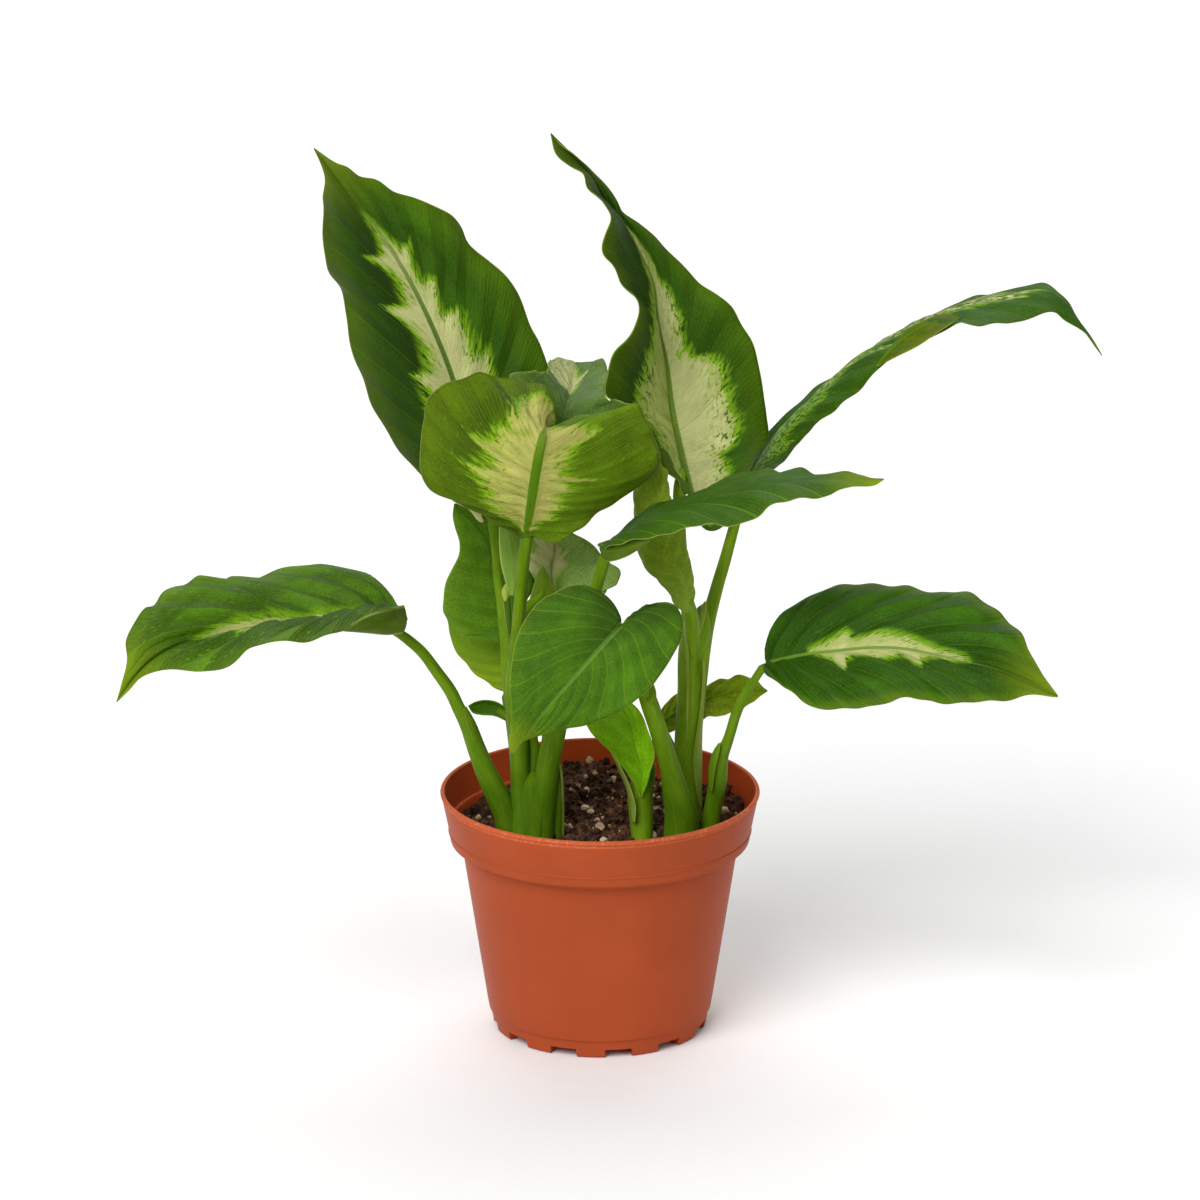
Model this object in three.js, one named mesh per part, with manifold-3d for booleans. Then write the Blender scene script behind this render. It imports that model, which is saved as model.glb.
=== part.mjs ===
// Potted dieffenbachia: plastic nursery pot, potting soil with perlite grains,
// five shoots standing in holes in the soil, and fourteen leaves on their stalks.
// Millimetres. +Z up, +X to the right and +Y to the back; the origin is the
// centre of the pot's foot, on the surface it stands on.
import * as THREE from 'three';
import { mergeVertices } from 'three/addons/utils/BufferGeometryUtils.js';
import Module from 'manifold-3d';

const wasm = await Module();
wasm.setup();

// Driving dimensions.
const RIM_RADIUS = 52.5; // widest part of the rolled rim
const POT_HEIGHT = 81;
const BAND_TOP_RADIUS = 51.9; // straight band below the rim
const BAND_BOTTOM_RADIUS = 49.3;
const BAND_BOTTOM = 64.3;
const BODY_TOP_RADIUS = 45.5;
const BODY_TOP = 62.6;
const FOOT_LINE = 6.3; // thin parting line above the foot
const FOOT_LINE_RADIUS = 36.8;
const FOOT_RADIUS = 35.2;
const WALL = 1.3;
const FLOOR_UNDERSIDE = 3.2;
const FLOOR_TOP = 4.7;
const FOOT_RING = 4.2; // width of the ring it stands on
const PAD_RADIUS = 8; // round pad in the middle of the underside, level with the ring
const POT_SEGMENTS = 60;
const NOTCH_COUNT = 12; // drain notches round the foot
const NOTCH_FIRST = -80; // angle of one notch, from +X
const NOTCH_WIDTH = 9;
const NOTCH_HEIGHT = 2.8;

const NODE_GAP = 0.3; // clearance between neighbouring pieces
const SOIL_EDGE = 68.2; // height of the soil at the wall
const SOIL_SIDES = 36;
const SOIL_SEED = 7;
const PERLITE_COUNT = 12;

const BLADE_THICKNESS = 0.8;
const RIB_DEPTH = 1.3; // how far the midrib stands out below the blade at its base
const STALK_SIDES = 8;
const FIRST_ROW = 0.012; // rows of a blade start and end just short of its points
const LAST_ROW = 0.985;

// Outlines are read off the front view, on a grid with its centre at (600, 600):
// steps of GRID mm to the right and down, and the depth (world Y) in mm.
const GRID = 0.3261;
const GRID_CENTRE = 600;
const VIEW_TILT = THREE.MathUtils.degToRad(17.9); // the view looks down by this
const VIEW_DISTANCE = 2600;
const VIEW_HEIGHT = 146.2; // height of the grid's centre at depth 0

const LEAVES = {
  // Tall leaf at the left, upper face forward.
  tall_left: {
    rib: [
      [487, 521, 17], [470, 452, 22], [455, 385, 24], [420, 300, 22], [385, 240, 16], [362, 212, 12],
      [316, 150, 0],
    ],
    left: [
      [487, 521, 17], [478, 524, 18], [462, 512, 20], [440, 495, 22], [426, 481, 23], [403, 457, 25],
      [389, 434, 26], [373, 406, 27], [359, 372, 27], [350, 342, 27], [347, 316, 27], [340, 294, 26],
      [330, 274, 24], [326, 255, 21], [322, 227, 17], [323, 199, 12], [325, 176, 6], [316, 150, 0],
    ],
    right: [
      [487, 521, 17], [500, 520, 18], [520, 500, 22], [537, 460, 26], [546, 420, 28], [548, 372, 29],
      [541, 344, 29], [530, 325, 29], [518, 294, 30], [504, 274, 30], [488, 259, 29], [468, 243, 27],
      [460, 227, 26], [451, 215, 24], [437, 207, 23], [415, 197, 20], [392, 191, 16], [375, 180, 12],
      [361, 177, 9], [347, 166, 5], [336, 162, 3], [316, 150, 0],
    ],
    bulge: [0.1, 0.12], bow: 0.12, sweep: 1.5,
    wave: [[0.8, 4.5, 0.1], [1.2, 5, 0.5]], rows: 18,
  },
  // Leaf at the front centre, seen from below, cupped away to the back.
  front_under: {
    rib: [
      [535, 531, -14], [538, 505, -24], [543, 472, -36], [548, 446, -43], [551, 432, -42],
      [553, 424, -34], [554, 428, -22], [555, 442, -13],
    ],
    left: [
      [535, 531, -14], [544, 539, -17], [553, 543, -19], [572, 533, -21], [591, 520, -21],
      [620, 499, -20], [637, 487, -18], [654, 474, -16], [659, 466, -15], [658, 440, -13],
      [650, 420, -11], [641, 405, -9], [625, 408, -9], [608, 412, -10], [590, 414, -11],
      [575, 424, -12], [563, 436, -13], [555, 442, -13],
    ],
    right: [
      [535, 531, -14], [519, 531, -17], [490, 521, -19], [477, 512, -19], [455, 503, -18],
      [429, 485, -16], [421, 472, -15], [420, 445, -13], [423, 420, -10], [428, 397, -6],
      [437, 389, -3], [455, 382, 0], [466, 374, 2], [484, 371, 3], [507, 371, 3], [530, 373, 1],
      [546, 384, -2], [555, 400, -6], [557, 420, -10], [555, 442, -13],
    ],
    bulge: [-0.1, -0.1], bow: 0.02, sweep: 1.1,
    wave: [[0.5, 4, 0.1], [0.7, 4, 0.5]], rows: 18, colour: 'olive',
  },
  // Leaf behind that one, lying back.
  back_top: {
    rib: [
      [556, 476, 3], [560, 440, 4], [565, 412, 9], [569, 396, 20], [572, 386, 32], [574, 372, 42],
      [575, 357, 49],
    ],
    left: [
      [556, 476, 3], [545, 455, 4], [522, 400, 7], [510, 373, 9], [535, 371, 13], [552, 371, 22],
      [556, 363, 36], [563, 357, 45], [575, 357, 49],
    ],
    right: [
      [556, 476, 3], [575, 460, 2], [618, 430, 0], [635, 406, -1], [618, 404, 0], [603, 399, 3],
      [598, 393, 14], [604, 384, 28], [607, 375, 38], [606, 366, 44], [596, 359, 48], [575, 357, 49],
    ],
    bulge: [0.0, 0.0], bow: 0.0, sweep: 1.2,
    wave: [[0.6, 4, 0.1], [0.6, 4, 0.5]], rows: 12,
  },
  // Tallest leaf, at the centre.
  top_centre: {
    rib: [
      [687, 493, 24], [680, 457, 26], [671, 409, 27], [666, 367, 27], [657, 322, 25], [652, 280, 22],
      [627, 232, 16], [613, 215, 13], [587, 173, 5], [552, 136, -6],
    ],
    left: [
      [687, 493, 24], [680, 487, 21], [672, 476, 17], [660, 462, 13], [640, 432, 9], [625, 405, 9],
      [606, 396, 9], [608, 372, 8], [617, 350, 6], [633, 330, 4], [637, 316, 3], [632, 294, 3],
      [622, 283, 2], [613, 266, 1], [604, 252, 0], [605, 232, -1], [610, 217, -1], [601, 201, -2],
      [587, 189, -4], [584, 173, -5], [570, 166, -5], [556, 154, -6], [552, 136, -6],
    ],
    right: [
      [687, 493, 24], [692, 510, 25], [708, 530, 26], [724, 525, 27], [740, 485, 29], [751, 469, 30],
      [761, 451, 31], [768, 437, 31], [767, 415, 31], [763, 395, 31], [760, 370, 31], [753, 344, 31],
      [744, 328, 31], [732, 307, 30], [716, 293, 29], [700, 283, 28], [688, 271, 26], [666, 248, 22],
      [641, 224, 17], [622, 211, 14], [617, 201, 12], [607, 186, 9], [590, 169, 5], [576, 155, 0],
      [556, 140, -5], [552, 136, -6],
    ],
    bulge: [0.05, 0.1], bow: 0.12, sweep: 1.5,
    wave: [[0.5, 4, 0.1], [1.0, 5, 0.5]], rows: 18,
  },
  // Long leaf reaching out to the right, half rolled.
  long_right: {
    rib: [
      [748, 478, 46], [775, 436, 40], [815, 395, 34], [860, 358, 29], [910, 328, 24], [960, 304, 18],
      [1010, 294, 12], [1050, 291, 8], [1078, 322, 5], [1103, 357, 2],
    ],
    left: [
      [748, 478, 46], [752, 462, 52], [769, 430, 58], [796, 405, 60], [837, 373, 58], [866, 353, 56],
      [910, 325, 52], [941, 310, 47], [973, 298, 42], [1007, 293, 34], [1048, 285, 22],
      [1062, 296, 16], [1079, 318, 10], [1089, 335, 7], [1103, 357, 2],
    ],
    right: [
      [748, 478, 46], [758, 476, 42], [776, 468, 36], [801, 439, 20], [830, 414, 10], [866, 381, 3],
      [885, 362, -1], [924, 342, -5], [959, 321, -7], [992, 322, -6], [1031, 314, -4], [1055, 312, -2],
      [1067, 321, -1], [1091, 342, 0], [1103, 357, 2],
    ],
    bulge: [0.1, 0.15], bow: 0.12, sweep: 1.4,
    wave: [[0.8, 5, 0.1], [0.8, 5, 0.5]], rows: 18,
  },
  // Narrow leaf pointing right, in front of the stems.
  front_narrow: {
    rib: [
      [608, 547, -22], [650, 522, -25], [690, 505, -27], [740, 490, -29], [790, 480, -31],
      [840, 479, -34], [884, 481, -38],
    ],
    left: [
      [608, 547, -22], [597, 545, -19], [620, 525, -12], [660, 503, -8], [700, 483, -6],
      [740, 470, -6], [780, 469, -8], [800, 473, -13], [822, 480, -20], [850, 473, -28],
      [884, 481, -38],
    ],
    right: [
      [608, 547, -22], [600, 552, -28], [615, 556, -36], [655, 542, -44], [690, 530, -48],
      [720, 528, -49], [745, 524, -49], [770, 510, -48], [800, 495, -46], [850, 488, -42],
      [884, 481, -38],
    ],
    bulge: [0.12, 0.12], bow: 0.12, sweep: 1.5,
    wave: [[0.8, 4, 0.1], [0.8, 4, 0.5]], rows: 13,
  },
  // Small heart-shaped leaf hanging at the front.
  heart: {
    rib: [
      [622, 624, -30], [598, 650, -34], [570, 682, -38], [542, 714, -39], [512, 748, -37],
    ],
    left: [
      [622, 624, -30], [622, 616, -30], [640, 605, -29], [658, 601, -28], [674, 603, -28],
      [682, 617, -28], [682, 635, -29], [670, 660, -31], [650, 690, -33], [625, 708, -35],
      [590, 725, -36], [560, 735, -37], [530, 738, -37], [512, 748, -37],
    ],
    right: [
      [622, 624, -30], [616, 616, -30], [610, 604, -30], [600, 592, -30], [580, 585, -31],
      [560, 588, -32], [540, 600, -34], [525, 615, -36], [515, 640, -38], [511, 660, -39],
      [510, 700, -39], [510, 730, -38], [512, 748, -37],
    ],
    bulge: [0.06, 0.06], bow: 0.14, sweep: 1.5,
    wave: [[0.4, 3, 0.1], [0.4, 3, 0.5]], rows: 11,
  },
  // Low leaf arching out to the left.
  left_low: {
    rib: [
      [402, 631, -18], [375, 617, -22], [356, 615, -24], [328, 619, -27], [295, 625, -31],
      [263, 627, -35], [230, 633, -39], [202, 640, -43], [165, 655, -47], [136, 679, -50],
      [116, 703, -53],
    ],
    left: [
      [402, 631, -18], [404, 620, -22], [401, 606, -30], [387, 610, -42], [366, 617, -50],
      [345, 629, -54], [330, 636, -56], [310, 642, -58], [284, 640, -60], [267, 641, -61],
      [252, 649, -62], [239, 660, -62], [221, 668, -62], [202, 671, -61], [174, 670, -60],
      [152, 673, -58], [139, 679, -56], [128, 690, -54], [116, 703, -53],
    ],
    right: [
      [402, 631, -18], [396, 618, -14], [387, 606, -8], [380, 593, -2], [369, 582, 2], [354, 572, 4],
      [338, 565, 5], [323, 563, 4], [308, 566, 2], [286, 569, 0], [265, 574, -3], [250, 577, -6],
      [232, 577, -9], [221, 582, -12], [208, 580, -15], [198, 577, -18], [187, 582, -21],
      [176, 584, -24], [163, 593, -28], [154, 606, -33], [145, 608, -37], [136, 620, -41],
      [126, 641, -46], [127, 660, -49], [121, 684, -52], [116, 703, -53],
    ],
    bulge: [0.08, 0.1], bow: 0.12, sweep: 1.5,
    wave: [[0.6, 5, 0.1], [0.8, 5, 0.5]], rows: 18,
  },
  // Low leaf arching out to the right.
  right_low: {
    rib: [
      [765, 664, -18], [805, 655, -22], [838, 651, -25], [870, 648, -28], [903, 649, -30],
      [935, 655, -32], [965, 662, -34], [1000, 671, -36], [1059, 697, -40],
    ],
    left: [
      [765, 664, -18], [772, 659, -15], [774, 645, -10], [777, 629, -5], [785, 615, -1], [796, 605, 1],
      [812, 597, 3], [827, 589, 4], [842, 584, 4], [861, 583, 3], [881, 585, 1], [898, 588, -1],
      [924, 588, -4], [939, 592, -7], [965, 593, -10], [981, 600, -14], [998, 610, -18],
      [1009, 621, -22], [1022, 636, -27], [1028, 649, -31], [1037, 664, -34], [1046, 679, -37],
      [1059, 697, -40],
    ],
    right: [
      [765, 664, -18], [765, 672, -24], [775, 681, -31], [788, 690, -37], [803, 701, -42],
      [816, 708, -45], [827, 710, -46], [848, 709, -48], [870, 706, -49], [892, 701, -50],
      [911, 699, -50], [939, 702, -50], [963, 703, -49], [989, 702, -48], [1011, 699, -46],
      [1028, 695, -43], [1050, 697, -41], [1059, 697, -40],
    ],
    bulge: [0.1, 0.06], bow: 0.12, sweep: 1.5,
    wave: [[0.6, 5, 0.1], [0.6, 5, 0.5]], rows: 16,
  },
  // Leaf standing behind the left stems.
  back_left: {
    rib: [
      [505, 692, 16], [509, 640, 22], [503, 590, 26], [488, 540, 28], [454, 503, 28],
    ],
    left: [
      [505, 692, 16], [490, 684, 17], [470, 668, 19], [455, 650, 20], [448, 625, 21], [443, 605, 22],
      [445, 585, 22], [453, 568, 22], [459, 550, 21], [456, 530, 24], [453, 515, 26], [454, 503, 28],
    ],
    right: [
      [505, 692, 16], [516, 682, 19], [521, 650, 24], [520, 610, 28], [512, 570, 31], [495, 530, 31],
      [475, 508, 30], [454, 503, 28],
    ],
    bulge: [0.06, 0.06], bow: 0.12, sweep: 1.5,
    wave: [[0.8, 4, 0.1], [0.6, 4, 0.5]], rows: 10,
  },
  // Leaf rolled lengthwise round its rib at the right stems.
  rolled: {
    rib: [
      [689, 611, -2], [681, 582, -4], [665, 550, -4], [655, 515, -2], [652, 472, 1],
    ],
    left: [
      [689, 611, -2], [693, 606, -1], [693, 590, 2], [688, 565, 6], [681, 535, 9], [674, 510, 10],
      [668, 490, 8], [662, 476, 5], [652, 472, 1],
    ],
    right: [
      [689, 611, -2], [683, 610, -1], [675, 602, 1], [668, 583, 5], [654, 563, 9], [641, 548, 11],
      [637, 516, 12], [637, 488, 10], [643, 476, 6], [652, 472, 1],
    ],
    bulge: [-0.25, -0.25], bow: 0.12, sweep: 1.3,
    wave: [[0.3, 3, 0.1], [0.3, 3, 0.5]], rows: 10, colour: 'olive',
  },
  // Leaf behind the centre stems.
  back_centre: {
    rib: [
      [556, 614, 5], [553, 592, 9], [552, 567, 12], [555, 545, 12], [547, 520, 12],
    ],
    left: [
      [556, 614, 5], [537, 614, 5], [529, 603, 5], [535, 587, 6], [529, 566, 6], [531, 545, 7],
      [538, 530, 9], [547, 520, 12],
    ],
    right: [
      [556, 614, 5], [575, 606, 4], [600, 594, 1], [617, 582, -1], [620, 570, 0], [606, 560, 3],
      [594, 546, 6], [573, 533, 10], [557, 524, 12], [547, 520, 12],
    ],
    bulge: [0.08, 0.08], bow: 0.12, sweep: 1.4,
    wave: [[0.5, 3, 0.1], [0.5, 3, 0.5]], rows: 8,
  },
  // Small leaf behind the right stems, seen from below.
  right_back: {
    rib: [
      [660, 724, 10], [690, 708, 13], [720, 697, 15], [745, 692, 15], [768, 691, 14],
    ],
    left: [
      [660, 724, 10], [665, 733, 8], [685, 726, 7], [701, 719, 7], [730, 714, 8], [747, 706, 11],
      [768, 691, 14],
    ],
    right: [
      [660, 724, 10], [662, 709, 13], [675, 695, 17], [703, 686, 20], [726, 678, 20], [750, 677, 18],
      [768, 691, 14],
    ],
    bulge: [-0.08, -0.08], bow: 0.12, sweep: 1.4,
    wave: [[0.3, 3, 0.1], [0.3, 3, 0.5]], rows: 8, colour: 'olive',
  },
  // Young leaf low in the middle of the pot.
  young_centre: {
    rib: [
      [641, 792, -8], [633, 768, -12], [622, 740, -14], [610, 712, -15], [598, 690, -14],
    ],
    left: [
      [641, 792, -8], [635, 789, -9], [624, 778, -12], [612, 754, -15], [590, 728, -18],
      [582, 708, -18], [598, 690, -14],
    ],
    right: [
      [641, 792, -8], [647, 788, -8], [654, 770, -9], [653, 751, -10], [648, 734, -12],
      [635, 706, -13], [617, 690, -14], [598, 690, -14],
    ],
    bulge: [-0.1, -0.1], bow: 0.12, sweep: 1.4,
    wave: [[0.3, 3, 0.1], [0.3, 3, 0.5]], rows: 8, colour: 'young',
  },
};
const SHOOTS = {
  left_shoots: [
    [
      [487, 521, 17, 1.5], [493, 560, 14, 1.8], [498, 596, 10, 2.2], [502, 640, 5, 2.9],
      [508, 700, -4, 3.5], [517, 770, -11, 4.0], [523, 860, -16, 4.6],
    ],
    [
      [535, 531, -14, 1.8], [525, 585, -15, 2.0], [516, 640, -12, 2.2], [512, 690, -8, 3.0],
      [517, 760, -12, 4.0], [523, 860, -16, 4.6],
    ],
    [
      [508, 528, 3, 0.6], [511, 545, 3, 2.4], [511, 570, 2, 2.4], [510, 595, 1, 2.0],
      [509, 640, -1, 2.6], [511, 700, -6, 3.0],
    ],
    [
      [402, 631, -18, 1.4], [425, 647, -18, 1.8], [440, 665, -17, 1.9], [455, 690, -16, 2.1],
      [468, 718, -15, 2.6], [480, 745, -14, 3.1], [492, 785, -13, 3.4], [505, 830, -13, 3.7],
      [508, 860, -13, 3.8],
    ],
    [
      [505, 692, 16, 1.4], [510, 730, 8, 1.8], [517, 780, -4, 2.2], [521, 820, -10, 2.6],
    ],
    [
      [508, 716, 0, 1.3], [499, 711, 2, 1.7], [485, 706, 3, 1.5], [469, 705, 3, 0.5],
    ],
    [
      [608, 547, -22, 1.5], [596, 589, -22, 1.8], [577, 640, -22, 2.3], [563, 695, -20, 3.1],
      [554, 735, -18, 3.7], [547, 785, -16, 4.5], [543, 836, -15, 5.2], [541, 860, -15, 5.3],
    ],
    [
      [556, 614, 5, 1.3], [555, 650, 0, 1.7], [553, 700, -8, 2.0], [550, 750, -15, 2.3],
    ],
    [
      [556, 476, 3, 1.3], [560, 520, 16, 1.6], [557, 580, 22, 1.8], [554, 640, 16, 2.1],
      [552, 700, 3, 2.4], [549, 750, -9, 2.8], [545, 785, -15, 3.0],
    ],
  ],
  centre_shoot: [
    [
      [641, 792, -8, 2.0], [642, 815, -8, 2.9], [643, 836, -9, 3.3], [643, 856, -9, 3.4],
    ],
  ],
  right_front_shoot: [
    [
      [622, 624, -30, 1.4], [634, 655, -29, 1.9], [646, 690, -26, 2.4], [658, 740, -21, 3.8],
      [672, 790, -17, 5.0], [682, 834, -14, 5.6], [684, 856, -14, 5.7],
    ],
  ],
  right_shoot: [
    [
      [687, 493, 24, 1.6], [683, 545, 19, 2.1], [686, 590, 13, 2.6], [690, 640, 9, 3.4],
      [692, 700, 5, 4.0],
    ],
    [
      [748, 478, 46, 1.5], [731, 525, 35, 2.0], [720, 570, 26, 2.4], [711, 610, 18, 3.0],
      [702, 650, 11, 3.6], [695, 700, 5, 4.0],
    ],
    [
      [691, 615, 8, 4.0], [692, 660, 7, 4.6], [693, 700, 4, 4.8], [694, 770, 1, 4.7],
      [695, 822, 0, 4.6], [695, 845, 0, 4.6],
    ],
    [
      [660, 724, 10, 1.1], [670, 745, 8, 1.6], [684, 785, 3, 2.0], [692, 815, 0, 2.4],
    ],
    [
      [689, 611, -2, 1.5], [692, 640, 3, 2.2], [693, 680, 4, 2.6],
    ],
  ],
  right_low_shoot: [
    [
      [765, 664, -18, 1.4], [740, 690, -17, 1.8], [728, 720, -15, 2.4], [720, 760, -12, 3.0],
      [711, 829, -9, 3.4], [709, 852, -9, 3.5],
    ],
  ],
};

// Share of the half width at which each column of a blade stands.
const COLUMNS = [0, 0.12, 0.55, 1];

const COLOURS = {
  terracotta: '#b0522f',
  soil: '#2e211b',
  stalk: '#79a83c',
  green: '#3f7d2a',
  young: '#6cab35',
  olive: '#8a9a4a',
};

// Helpers.
function seededRandom(seed) {
  let state = seed;
  return () => {
    state = (state * 1664525 + 1013904223) % 4294967296;
    return state / 4294967296;
  };
}

function toManifold(geometry) {
  const bare = geometry.clone();
  bare.deleteAttribute('normal');
  bare.deleteAttribute('uv');
  const merged = mergeVertices(bare, 1e-4);
  return new wasm.Manifold(new wasm.Mesh({
    numProp: 3,
    vertProperties: Float32Array.from(merged.attributes.position.array),
    triVerts: Uint32Array.from(merged.index.array),
  }));
}

function toGeometry(solid) {
  const mesh = solid.getMesh();
  const flat = new Float32Array((mesh.vertProperties.length / mesh.numProp) * 3);
  for (let i = 0; i < flat.length / 3; i += 1) {
    for (let k = 0; k < 3; k += 1) flat[3 * i + k] = mesh.vertProperties[mesh.numProp * i + k];
  }
  const geometry = new THREE.BufferGeometry();
  geometry.setAttribute('position', new THREE.BufferAttribute(flat, 3));
  geometry.setIndex(Array.from(mesh.triVerts));
  geometry.computeVertexNormals();
  return geometry;
}

function largestBody(solid) {
  const bodies = solid.decompose();
  bodies.sort((a, b) => b.volume() - a.volume());
  return bodies[0];
}

// World point of a grid reading at a given depth.
function place([across, down, depth]) {
  const right = ((across - GRID_CENTRE) * GRID) / VIEW_DISTANCE;
  const up = ((GRID_CENTRE - down) * GRID) / VIEW_DISTANCE;
  const cos = Math.cos(VIEW_TILT);
  const sin = Math.sin(VIEW_TILT);
  const eye = new THREE.Vector3(0, -VIEW_DISTANCE * cos, VIEW_HEIGHT + VIEW_DISTANCE * sin);
  const ray = new THREE.Vector3(right, cos + up * sin, up * cos - sin);
  return eye.addScaledVector(ray, (depth - eye.y) / ray.y);
}

// Smooth curve through grid readings, addressed by its share of arc length.
class Curve {
  constructor(readings) {
    const steps = 12;
    const p = readings.map(place);
    const last = p.length - 1;
    const before = p[0].clone().multiplyScalar(2).sub(p[1]);
    const after = p[last].clone().multiplyScalar(2).sub(p[last - 1]);
    const all = [before, ...p, after];
    this.points = [];
    for (let i = 0; i < last; i += 1) {
      const [a, b, c, d] = all.slice(i, i + 4);
      const ab = Math.sqrt(a.distanceTo(b));
      const bc = Math.sqrt(b.distanceTo(c));
      const cd = Math.sqrt(c.distanceTo(d));
      const leave = tangent(a, b, c, ab, bc, bc);
      const arrive = tangent(b, c, d, bc, cd, bc);
      for (let k = 0; k < steps; k += 1) {
        const f = k / steps;
        const f2 = f * f;
        const f3 = f2 * f;
        this.points.push(new THREE.Vector3()
          .addScaledVector(b, 2 * f3 - 3 * f2 + 1)
          .addScaledVector(leave, f3 - 2 * f2 + f)
          .addScaledVector(c, 3 * f2 - 2 * f3)
          .addScaledVector(arrive, f3 - f2));
      }
    }
    this.points.push(p[last]);
    this.lengths = [0];
    for (let i = 1; i < this.points.length; i += 1) {
      this.lengths.push(this.lengths[i - 1] + this.points[i].distanceTo(this.points[i - 1]));
    }
    this.length = this.lengths[this.lengths.length - 1];
  }

  at(share) {
    const s = THREE.MathUtils.clamp(share, 0, 1) * this.length;
    let i = 1;
    while (i < this.lengths.length - 1 && this.lengths[i] < s) i += 1;
    const f = (s - this.lengths[i - 1]) / (this.lengths[i] - this.lengths[i - 1]);
    return this.points[i - 1].clone().lerp(this.points[i], f);
  }

  direction(share) {
    const reach = 0.02;
    return this.at(share + reach).sub(this.at(share - reach)).normalize();
  }
}

// Hermite tangent at b of a smooth curve through a, b and c, for a span of the given root length.
function tangent(a, b, c, ab, bc, span) {
  const near = b.clone().sub(a).divideScalar(ab);
  const far = c.clone().sub(b).divideScalar(bc);
  const chord = c.clone().sub(a).divideScalar(ab + bc);
  return near.add(far).sub(chord).multiplyScalar(span);
}

// Closed solid from rings of equal point counts; each end closes on its own centre.
function ringsToGeometry(rings) {
  const n = rings[0].length;
  const positions = [];
  const indices = [];
  rings.forEach((ring) => ring.forEach((p) => positions.push(p.x, p.y, p.z)));
  for (let i = 0; i < rings.length - 1; i += 1) {
    for (let j = 0; j < n; j += 1) {
      const a = i * n + j;
      const b = i * n + ((j + 1) % n);
      indices.push(a, b, b + n, a, b + n, a + n);
    }
  }
  [0, rings.length - 1].forEach((end) => {
    const centre = new THREE.Vector3();
    rings[end].forEach((p) => centre.addScaledVector(p, 1 / n));
    const hub = positions.length / 3;
    positions.push(centre.x, centre.y, centre.z);
    for (let j = 0; j < n; j += 1) {
      const a = end * n + j;
      const b = end * n + ((j + 1) % n);
      if (end === 0) indices.push(hub, b, a);
      else indices.push(hub, a, b);
    }
  });
  const geometry = new THREE.BufferGeometry();
  geometry.setAttribute('position', new THREE.Float32BufferAttribute(positions, 3));
  geometry.setIndex(indices);
  return geometry;
}

// Stalks and sheaths.
// A reading of a stalk has its radius as a fourth number.
function stalkSolid(readings, extra) {
  const curve = new Curve(readings);
  const marks = [0];
  for (let i = 1; i < readings.length; i += 1) {
    marks.push(marks[i - 1] + place(readings[i]).distanceTo(place(readings[i - 1])));
  }
  const stations = Math.ceil(1.6 * readings.length);
  const rings = [];
  for (let i = 0; i <= stations; i += 1) {
    const share = i / stations;
    const s = share * marks[marks.length - 1];
    let k = 1;
    while (k < marks.length - 1 && marks[k] < s) k += 1;
    const f = (s - marks[k - 1]) / (marks[k] - marks[k - 1]);
    const radius = extra + THREE.MathUtils.lerp(readings[k - 1][3], readings[k][3], f);
    const along = curve.direction(share);
    const centre = curve.at(share);
    if (i === 0) centre.addScaledVector(along, -extra);
    if (i === stations) centre.addScaledVector(along, extra);
    const side = new THREE.Vector3().crossVectors(along, new THREE.Vector3(0, 1, 0)).normalize();
    const other = new THREE.Vector3().crossVectors(along, side);
    const ring = [];
    for (let j = 0; j < STALK_SIDES; j += 1) {
      const angle = (2 * Math.PI * j) / STALK_SIDES;
      ring.push(centre.clone()
        .addScaledVector(side, radius * Math.cos(angle))
        .addScaledVector(other, radius * Math.sin(angle)));
    }
    rings.push(ring);
  }
  return toManifold(ringsToGeometry(rings));
}

function shootSolid(stalks, extra) {
  let solid = stalkSolid(stalks[0], extra);
  stalks.slice(1).forEach((readings) => {
    solid = solid.add(stalkSolid(readings, extra));
  });
  return solid;
}

// Leaves.
// Rows run from the rib out to a margin; the rib lags behind, so they sweep towards the tip.
function bladeGrid(leaf) {
  const rib = new Curve(leaf.rib);
  const margins = { '-1': new Curve(leaf.right), 1: new Curve(leaf.left) };
  const grid = [];
  for (let i = 0; i <= leaf.rows; i += 1) {
    const t = THREE.MathUtils.lerp(FIRST_ROW, LAST_ROW, i / leaf.rows);
    const root = rib.at(t ** leaf.sweep);
    const along = rib.direction(t ** leaf.sweep);
    const row = [];
    [-1, 1].forEach((hand) => {
      const chord = margins[hand].at(t).sub(root);
      const width = chord.length();
      const up = new THREE.Vector3().crossVectors(along, chord).multiplyScalar(hand).normalize();
      const bulge = leaf.bulge[hand > 0 ? 0 : 1];
      const [height, count, phase] = leaf.wave[hand > 0 ? 0 : 1];
      const swing = Math.sin(2 * Math.PI * (count * t + phase));
      const wave = height * swing * Math.sqrt(Math.sin(Math.PI * t));
      const half = COLUMNS.map((v) => {
        const arc = 4 * v * (1 - v) * width;
        return root.clone()
          .addScaledVector(chord, v)
          .addScaledVector(up, bulge * arc + wave * v * v)
          .addScaledVector(along, -leaf.bow * arc);
      });
      if (hand < 0) row.push(...half.reverse());
      else row.push(...half.slice(1));
    });
    grid.push(row);
  }
  return grid;
}

function bladeNormals(grid) {
  return grid.map((row, i) => row.map((point, j) => {
    const ahead = grid[Math.min(i + 1, grid.length - 1)][j];
    const behind = grid[Math.max(i - 1, 0)][j];
    const left = row[Math.min(j + 1, row.length - 1)];
    const right = row[Math.max(j - 1, 0)];
    const along = ahead.clone().sub(behind);
    return along.cross(left.clone().sub(right)).normalize();
  }));
}

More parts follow.
